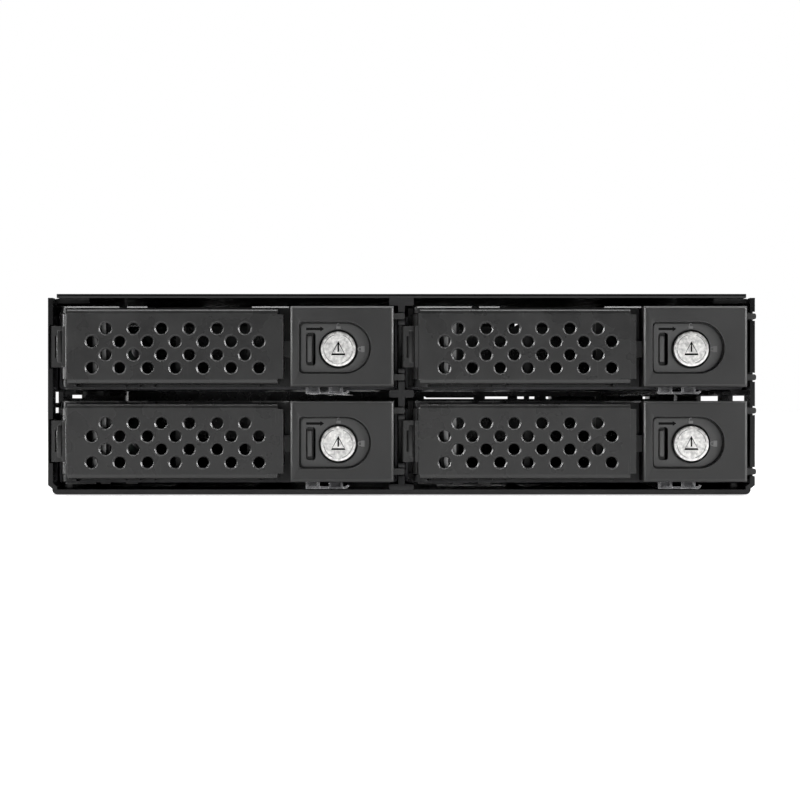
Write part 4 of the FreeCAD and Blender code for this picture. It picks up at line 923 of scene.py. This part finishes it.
def fan_frame_body():
    """Both square frames, with round ducts, countersunk corners, struts and the motor base."""
    low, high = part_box("fan_frames")
    z = (low.z + high.z) / 2
    places = screw_places("fan_screws")
    edge, reach = 0.7 * MM, 1 * MM
    parts = []
    for side in (-1, 1):
        x = side * (high.x - FAN_HALF)
        square = rounded_outline(x - FAN_HALF, x + FAN_HALF, low.z, high.z, FAN_CORNER, 10)
        shell = prism(square, low.y, high.y)
        soften(shell, 0.25 * MM, segments=3, clamp=True)
        duct = lathe([(0, low.y - reach), (FAN_BORE + edge, low.y - reach), (FAN_BORE + edge, low.y),
                      (FAN_BORE, low.y + edge), (FAN_BORE, high.y - edge), (FAN_BORE + edge, high.y),
                      (FAN_BORE + edge, high.y + reach), (0, high.y + reach)], (x, 0, z), 96)
        sinks = []
        for face, _, _, head in places:
            if face.x * side < 0:
                continue
            wide, thin = head + SCREW_PLAY, SCREW_HOLE
            sink = [(0, high.y + reach), (wide, high.y + reach), (wide, high.y), (thin, high.y - wide + thin),
                    (thin, low.y - reach), (0, low.y - reach)]
            sinks.append(lathe(sink, (face.x, 0, face.z), 40))
        parts.append(smooth(carve(shell, duct, *sinks)))
        for turn in (STRUT_TURN, STRUT_TURN + 90):
            strut = block((-FAN_BORE - 0.3 * MM, high.y - STRUT_DEPTH, -STRUT_WIDTH / 2),
                          (FAN_BORE + 0.3 * MM, high.y - 0.02 * MM, STRUT_WIDTH / 2))
            soften(strut, 0.2 * MM, clamp=True)
            strut.data.transform(Matrix.Translation((x, 0, z)) @ Matrix.Rotation(math.radians(turn), 4, "Y"))
            parts.append(strut)
        base = lathe([(0, high.y), (FAN_HUB - 0.3 * MM, high.y), (FAN_HUB, high.y - 0.3 * MM),
                      (FAN_HUB, high.y - STRUT_DEPTH), (0, high.y - STRUT_DEPTH)], (x, 0, z), 72)
        parts.append(smooth(base))
    whole = merged("fan_frames_dressed", *parts)
    dress(whole, MATERIALS["fan_plastic"], SLOT_OF["fan_frames"], BODY_OF["fan_frames"], "fan_frames")


# ---------------------------------------------------------------- material helpers
def group_tree(name, inputs, outputs):
    """An empty shader group with number inputs, and its input and output sockets."""
    tree = bpy.data.node_groups.new(name, "ShaderNodeTree")
    for label, value in inputs:
        socket = tree.interface.new_socket(label, in_out="INPUT", socket_type="NodeSocketFloat")
        socket.default_value = value
    for label, kind in outputs:
        tree.interface.new_socket(label, in_out="OUTPUT", socket_type="NodeSocket" + kind)
    return tree, tree.nodes.new("NodeGroupInput").outputs, tree.nodes.new("NodeGroupOutput").inputs


def spread(tree, value, low, high, to_low=0.0, to_high=1.0):
    """A value mapped from one range to another and held inside it."""
    node = put(tree, "ShaderNodeMapRange", {"Value": value, "From Min": low, "From Max": high,
                                            "To Min": to_low, "To Max": to_high})
    return node.outputs[0]


def noise(tree, where, scale, detail=2.0, rough=0.5):
    """Soft random values in space."""
    node = put(tree, "ShaderNodeTexNoise", {"Vector": where, "Scale": scale, "Detail": detail,
                                            "Roughness": rough})
    return node.outputs[0]


def grain_group():
    """Fine skin of paint or moulded plastic: a height for bump, and a slow change of tone."""
    tree, given, out = group_tree("fine_grain", [("Grain Scale", 4000.0), ("Mottle Scale", 120.0)],
                                  [("Height", "Float"), ("Tone", "Float")])
    where = tree.nodes.new("ShaderNodeTexCoord").outputs["Object"]
    fine = noise(tree, where, given["Grain Scale"], 3.0, 0.6)
    slow = noise(tree, where, given["Mottle Scale"], 3.0, 0.55)
    tree.links.new(fine, out["Height"])
    tree.links.new(spread(tree, slow, 0.3, 0.7), out["Tone"])
    return tree


def wear_and_highlight_group():
    """Where edges are rubbed, faint scratches, and a film of dust in patches. The edge mask also carries a
    painted highlight where a finish gives a light edge colour, as on the clear light pipe.
    """
    tree, given, out = group_tree("handling_wear_and_edge_highlight", [("Edge Width", 0.0002), ("Scratch Scale", 300.0)],
                                  [("Edge", "Float"), ("Scratches", "Float"), ("Dust", "Float")])
    where = tree.nodes.new("ShaderNodeTexCoord").outputs["Object"]
    true_normal = tree.nodes.new("ShaderNodeNewGeometry").outputs["Normal"]
    bent = put(tree, "ShaderNodeBevel", {"Radius": given["Edge Width"]}, samples=4).outputs[0]
    alike = put(tree, "ShaderNodeVectorMath", {0: true_normal, 1: bent}, operation="DOT_PRODUCT")
    alike = alike.outputs["Value"]
    broken = noise(tree, where, given["Scratch Scale"], 4.0, 0.7)
    edge = reckon(tree, "MULTIPLY", spread(tree, alike, 0.99, 0.85), spread(tree, broken, 0.42, 0.62))
    tree.links.new(edge, out["Edge"])
    streaks = put(tree, "ShaderNodeMapping", {"Vector": where, "Rotation": (0.3, 0.5, 0.8),
                                              "Scale": (9.0, 1.0, 0.6)}).outputs[0]
    lines = noise(tree, streaks, given["Scratch Scale"], 2.0, 0.5)
    tree.links.new(spread(tree, lines, 0.68, 0.74), out["Scratches"])
    film = noise(tree, where, 45.0, 5.0, 0.6)
    tree.links.new(spread(tree, film, 0.45, 0.75), out["Dust"])
    return tree


GRAIN = grain_group()
WEAR_AND_HIGHLIGHT = wear_and_highlight_group()


def use_group(tree, group, **values):
    """The outputs of a group used in a tree."""
    node = tree.nodes.new("ShaderNodeGroup")
    node.node_tree = group
    for key, value in values.items():
        node.inputs[key.replace("_", " ")].default_value = value
    return node.outputs


def two_tone(tree, factor, one, two):
    """A colour between two, as the factor says."""
    node = put(tree, "ShaderNodeMix", {0: factor}, data_type="RGBA")
    node.inputs[6].default_value = one + (1.0,)
    if isinstance(two, tuple):
        node.inputs[7].default_value = two + (1.0,)
    else:
        tree.links.new(two, node.inputs[7])
    return node.outputs[2]


def over(tree, factor, under, top):
    """A colour laid over another where the factor says."""
    node = put(tree, "ShaderNodeMix", {0: factor}, data_type="RGBA")
    tree.links.new(under, node.inputs[6])
    node.inputs[7].default_value = top + (1.0,)
    return node.outputs[2]


def shade(tone):
    """A colour as given, or the grey of one value."""
    return tone if isinstance(tone, tuple) else (tone, tone, tone)


def finish_of(name, dark, light, rough, metal=0.0, coat=0.0, coat_rough=0.1, specular=0.5,
              grain=4000.0, bump=0.00002, mottle=120.0, edge_wear_and_highlight=None, edge=0.0, dust=0.0,
              scratches=0.0, rough_spread=0.08, clear=0.0, floor=None):
    """A painted, moulded or bare metal surface with its grain, mottling, rubbed edges and dust. The edge
    colour is rubbed wear, and on the clear light pipe a painted highlight; the floor tone paints light on the
    floor of the lock pocket.
    """
    dark, light, edge_wear_and_highlight = shade(dark), shade(light), edge_wear_and_highlight and shade(edge_wear_and_highlight)
    material = bpy.data.materials.new(name)
    material.use_nodes = True
    tree = material.node_tree
    skin = tree.nodes["Principled BSDF"]
    skin.inputs["Coat Weight"].default_value = coat
    skin.inputs["Coat Roughness"].default_value = coat_rough
    skin.inputs["Specular IOR Level"].default_value = specular
    skin.inputs["Metallic"].default_value = metal
    skin.inputs["Transmission Weight"].default_value = clear
    skin.inputs["IOR"].default_value = 1.49
    surface = use_group(tree, GRAIN, Grain_Scale=grain, Mottle_Scale=mottle)
    colour = two_tone(tree, surface["Tone"], dark, light)
    wear = use_group(tree, WEAR_AND_HIGHLIGHT)
    # Edge colour: rubbed wear, and on the clear light pipe a painted highlight.
    if edge_wear_and_highlight:
        colour = over(tree, reckon(tree, "MULTIPLY", wear["Edge"], edge), colour, edge_wear_and_highlight)
    if scratches:
        lift = reckon(tree, "MULTIPLY", wear["Scratches"], scratches)
        colour = over(tree, lift, colour, edge_wear_and_highlight or light)
    if dust:
        colour = over(tree, reckon(tree, "MULTIPLY", wear["Dust"], dust), colour, (0.35, 0.34, 0.32))
    # A lighter tone on faces at the depth of the pocket floor: painted light in the recess.
    if floor:
        where = tree.nodes.new("ShaderNodeTexCoord").outputs["Object"]
        depth = put(tree, "ShaderNodeSeparateXYZ", {0: where}).outputs[1]
        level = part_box("tray_1_lock_housing")[0].y + POCKET_DEPTH
        off = reckon(tree, "ABSOLUTE", reckon(tree, "SUBTRACT", depth, level))
        colour = over(tree, spread(tree, off, 0.1 * MM, 0.2 * MM, 1.0, 0.0), colour, shade(floor))
    tree.links.new(colour, skin.inputs["Base Color"])
    roughness = spread(tree, surface["Tone"], 0.0, 1.0, rough - rough_spread, rough + rough_spread)
    tree.links.new(roughness, skin.inputs["Roughness"])
    bumps = put(tree, "ShaderNodeBump", {"Height": surface["Height"], "Strength": 0.5, "Distance": bump})
    tree.links.new(bumps.outputs[0], skin.inputs["Normal"])
    return material


# ---------------------------------------------------------------- materials
def make_materials():
    found = {}
    found["cage_steel"] = finish_of(
        "gloss_black_case", (0.0015, 0.0015, 0.0017), (0.0025, 0.0025, 0.0028), 0.22, specular=0.35,
        grain=900.0, bump=0.00001, edge_wear_and_highlight=0.012, edge=0.3, dust=0.002, rough_spread=0.04)
    found["carrier_steel"] = finish_of(
        "dark_zinc_carrier", (0.04, 0.04, 0.042), (0.06, 0.06, 0.063), 0.36, metal=1.0, grain=700.0,
        bump=0.00001, mottle=260.0, edge_wear_and_highlight=0.2)
    found["frame_plastic"] = finish_of(
        "black_moulded_frame", (0.003, 0.003, 0.0033), (0.005, 0.005, 0.0053), 0.38, specular=0.35,
        grain=3000.0, edge_wear_and_highlight=0.015, edge=0.3)
    # Black for the sheets that paint shade in the engraved arrow and in the keyway.
    found["painted_shade_black"] = finish_of(
        "painted_shade_black", 0.002, 0.003, 0.6, specular=0.1, grain=3000.0)
    # Grey for the arcs painted as shade in the lock's ring groove.
    found["groove_painted_shade"] = finish_of(
        "groove_painted_shade", 0.1, 0.3, 0.5, specular=0.2, grain=3000.0, mottle=2500.0)
    # Lighter than the frame's black: a painted highlight on the slanted lips.
    found["bright_lip"] = finish_of(
        "gloss_black_lip_painted_highlight", 0.02, 0.05, 0.2, specular=0.7, grain=900.0,
        bump=0.00001, mottle=250.0)
    # Lighter grey than the housing, for the raised padlock signs.
    found["sign_print"] = finish_of(
        "grey_sign", 0.12, 0.2, 0.5, specular=0.3, grain=3000.0)
    found["divider_steel"] = finish_of(
        "satin_black_divider", (0.009, 0.009, 0.0095), (0.013, 0.013, 0.0135), 0.4, specular=0.35,
        grain=900.0, bump=0.00001, edge_wear_and_highlight=0.03, edge=0.3, scratches=0.05)
    # Its floor tone paints light on the floor of the lock pocket.
    found["housing_plastic"] = finish_of(
        "black_moulded_housing", 0.022, 0.0275, 0.4, specular=0.4,
        grain=5200.0, bump=0.00002, mottle=60.0, edge_wear_and_highlight=0.16, edge=0.5, dust=0.008,
        floor=POCKET_FLOOR_PAINTED_LIGHT)
    found["lever_paint"] = finish_of(
        "satin_black_lever", 0.0158, 0.021, 0.3, specular=0.45, grain=2600.0,
        bump=0.00003, mottle=150.0, edge_wear_and_highlight=0.2, edge=0.4, scratches=0.06, dust=0.008)
    found["pin_steel"] = finish_of(
        "bright_pin", 0.5, 0.6, 0.25, metal=1.0, grain=1500.0)
    found["leaf_steel"] = finish_of(
        "dull_leaf_steel", 0.2, 0.28, 0.34, metal=1.0, grain=1500.0)
    found["lock_metal"] = finish_of(
        "satin_nickel_lock", (0.46, 0.455, 0.45), (0.93, 0.92, 0.9), 0.36, metal=0.7, grain=1400.0,
        bump=0.00005, mottle=1500.0, edge_wear_and_highlight=(0.95, 0.94, 0.92), edge=0.4)
    # Near-white edge colour at four times strength: painted highlights on the edges of the clear light pipe.
    found["clear_plastic"] = finish_of(
        "clear_light_pipe", (0.09, 0.09, 0.095), (0.15, 0.15, 0.155), 0.16, clear=0.35, grain=900.0,
        bump=0.00002, mottle=300.0, edge_wear_and_highlight=(0.9, 0.9, 0.92), edge=4.0)
    found["board"] = finish_of(
        "dark_board", (0.002, 0.007, 0.0045), (0.003, 0.011, 0.0065), 0.3, coat=0.3, grain=1500.0,
        mottle=500.0)
    found["socket_plastic"] = finish_of(
        "black_socket", 0.012, 0.02, 0.4, grain=3500.0)
    found["lamps"] = finish_of(
        "milky_lamp", (0.6, 0.62, 0.5), (0.75, 0.77, 0.62), 0.3, coat=0.5, grain=1500.0)
    found["fan_plastic"] = finish_of(
        "black_fan", (0.014, 0.014, 0.015), (0.022, 0.022, 0.023), 0.42, grain=3200.0, dust=0.03)
    found["black_screws"] = finish_of(
        "black_oxide_screw", (0.02, 0.02, 0.022), (0.05, 0.05, 0.052), 0.35, metal=0.9, grain=1800.0,
        edge_wear_and_highlight=0.35, edge=0.6)
    return found


MATERIALS = make_materials()

for row in frame["record"]["subparts"]:
    holder = frame["nodes"][row["node"]]
    holder.data.materials.clear()
    holder.data.materials.append(MATERIALS[row["material_slot"]])


# ---------------------------------------------------------------- stage: floor, world, lights, camera
def floor_material():
    material = bpy.data.materials.new("pale_floor")
    material.use_nodes = True
    tree = material.node_tree
    skin = tree.nodes["Principled BSDF"]
    skin.inputs["Base Color"].default_value = (0.9, 0.9, 0.9, 1.0)
    skin.inputs["Roughness"].default_value = 0.9
    skin.inputs["Specular IOR Level"].default_value = 0.1
    path = tree.nodes.new("ShaderNodeLightPath").outputs
    seen = reckon(tree, "MAXIMUM", path["Is Camera Ray"], path["Is Glossy Ray"])
    seen = reckon(tree, "MAXIMUM", seen, path["Is Transmission Ray"])
    skin.inputs["Emission Color"].default_value = (1.0, 1.0, 1.0, 1.0)
    tree.links.new(reckon(tree, "MULTIPLY", seen, 0.55), skin.inputs["Emission Strength"])
    return material


def make_stage():
    bm = bmesh.new()
    half = 3.0
    corners = [bm.verts.new((x, y, cad_box[0][2] - 0.0002)) for x, y in
               ((-half, -half), (half, -half), (half, half), (-half, half))]
    bm.faces.new(corners)
    floor = from_bmesh("floor", bm)
    floor.data.materials.append(floor_material())


def make_world():
    """White to the camera. As light it is plain, and dimmer on the side where the camera stands."""
    world = bpy.data.worlds.new("studio")
    world.use_nodes = True
    tree = world.node_tree
    tree.nodes.clear()
    direction = tree.nodes.new("ShaderNodeTexCoord").outputs["Generated"]
    parts = put(tree, "ShaderNodeSeparateXYZ", {0: direction}).outputs
    around = spread(tree, parts[1], -0.04, 0.06, 0.05, 1.0)
    plain = (1.0, 1.0, 1.0, 1.0)
    glow = put(tree, "ShaderNodeBackground", {"Color": plain, "Strength": around}).outputs[0]
    white = put(tree, "ShaderNodeBackground", {"Color": plain, "Strength": 1.0}).outputs[0]
    path = tree.nodes.new("ShaderNodeLightPath").outputs
    seen = reckon(tree, "MAXIMUM", path["Is Camera Ray"], path["Is Transmission Ray"])
    both = put(tree, "ShaderNodeMixShader", {0: seen, 1: glow, 2: white}).outputs[0]
    out = tree.nodes.new("ShaderNodeOutputWorld")
    tree.links.new(both, out.inputs["Surface"])
    bpy.context.scene.world = world


def area_light(name, place, target, width, height, power, mirrored=True, lighting=True):
    """A softbox. It can light the piece without showing in its gloss, or show there alone."""
    data = bpy.data.lights.new(name, "AREA")
    data.shape = "RECTANGLE"
    data.size = width
    data.size_y = height
    data.energy = power
    lamp = bpy.data.objects.new(name, data)
    lamp.location = place
    lamp.visible_glossy = mirrored
    lamp.visible_diffuse = lighting
    lamp.rotation_euler = (Vector(target) - Vector(place)).to_track_quat("-Z", "Y").to_euler()
    bpy.context.scene.collection.objects.link(lamp)


def make_lights():
    target = (0.0, cad_box[0][1], 0.02)
    front = cad_box[0][1]
    area_light("left_softbox", (-0.5, -0.95, 0.3), target, 0.6, 0.6, 0.9, mirrored=False)
    area_light("right_softbox", (0.65, -0.85, 0.3), target, 0.6, 0.6, 7.0, mirrored=False)
    area_light("top_softbox", (0.0, front - 0.02, 0.8), target, 1.2, 0.16, 6.0)
    area_light("left_strip", (-0.65, front - 0.1, 0.25), target, 0.06, 0.7, 6.5, lighting=False)
    area_light("right_strip", (0.65, front - 0.1, 0.25), target, 0.06, 0.7, 6.5, lighting=False)


def make_camera():
    data = bpy.data.cameras.new("camera")
    distance = 0.45
    view_width = 165.2 * MM
    data.sensor_width = 36.0
    data.lens = data.sensor_width * distance / view_width
    data.clip_start = 0.01
    camera = bpy.data.objects.new("camera", data)
    pan_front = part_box("chassis_pan")[0].y
    camera.location = (-0.3 * MM, pan_front - distance, 19.5 * MM)
    camera.rotation_euler = (math.pi / 2, 0, 0)
    bpy.context.scene.collection.objects.link(camera)
    bpy.context.scene.camera = camera


make_stage()
make_world()
make_lights()
make_camera()
bpy.context.scene.view_settings.view_transform = "Standard"

# ---------------------------------------------------------------- the pieces
PERFORATED = perforated_tree()
RIM = hole_rim()
for tray in TRAYS:
    lever_cover(tray, PERFORATED, RIM, MATERIALS["lever_paint"])
    lock_housing(tray)
    lock_face(tray)
    tray_trim(tray)
drop(RIM)
for node, width in (("centre_divider", 0.2 * MM), ("top_cover", 0.12 * MM), ("chassis_pan", 0)):
    part = soften(copied(node), width, clamp=True) if width else smooth(copied(node))
    if node == "top_cover":
        low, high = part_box(node)
        hem = block((-HEM_HALF, high.y - HEM_SHEET, low.z - HEM_DROP), (HEM_HALF, high.y, low.z + 0.1 * MM))
        part = merged("top_cover_dressed", part, hem)
    paint = "divider_steel" if node == "centre_divider" else "cage_steel"
    dress(part, MATERIALS[paint], "cage_steel", BODY_OF[node], node)

SCREWS = screws_tree()
dress_screws("case_screws", SCREWS, SCREW_SHANK)
dress_screws("fan_screws", SCREWS, SCREW_SHANK)
dress_screws("board_screws", SCREWS, SCREW_SHANK, sunk=False)

fan_frame_body()
BLADE, BLADES = fan_blade(), blades_tree()
for node in ("fan_rotor_left", "fan_rotor_right"):
    fan_rotor(node, BLADES, BLADE)
drop(BLADE)
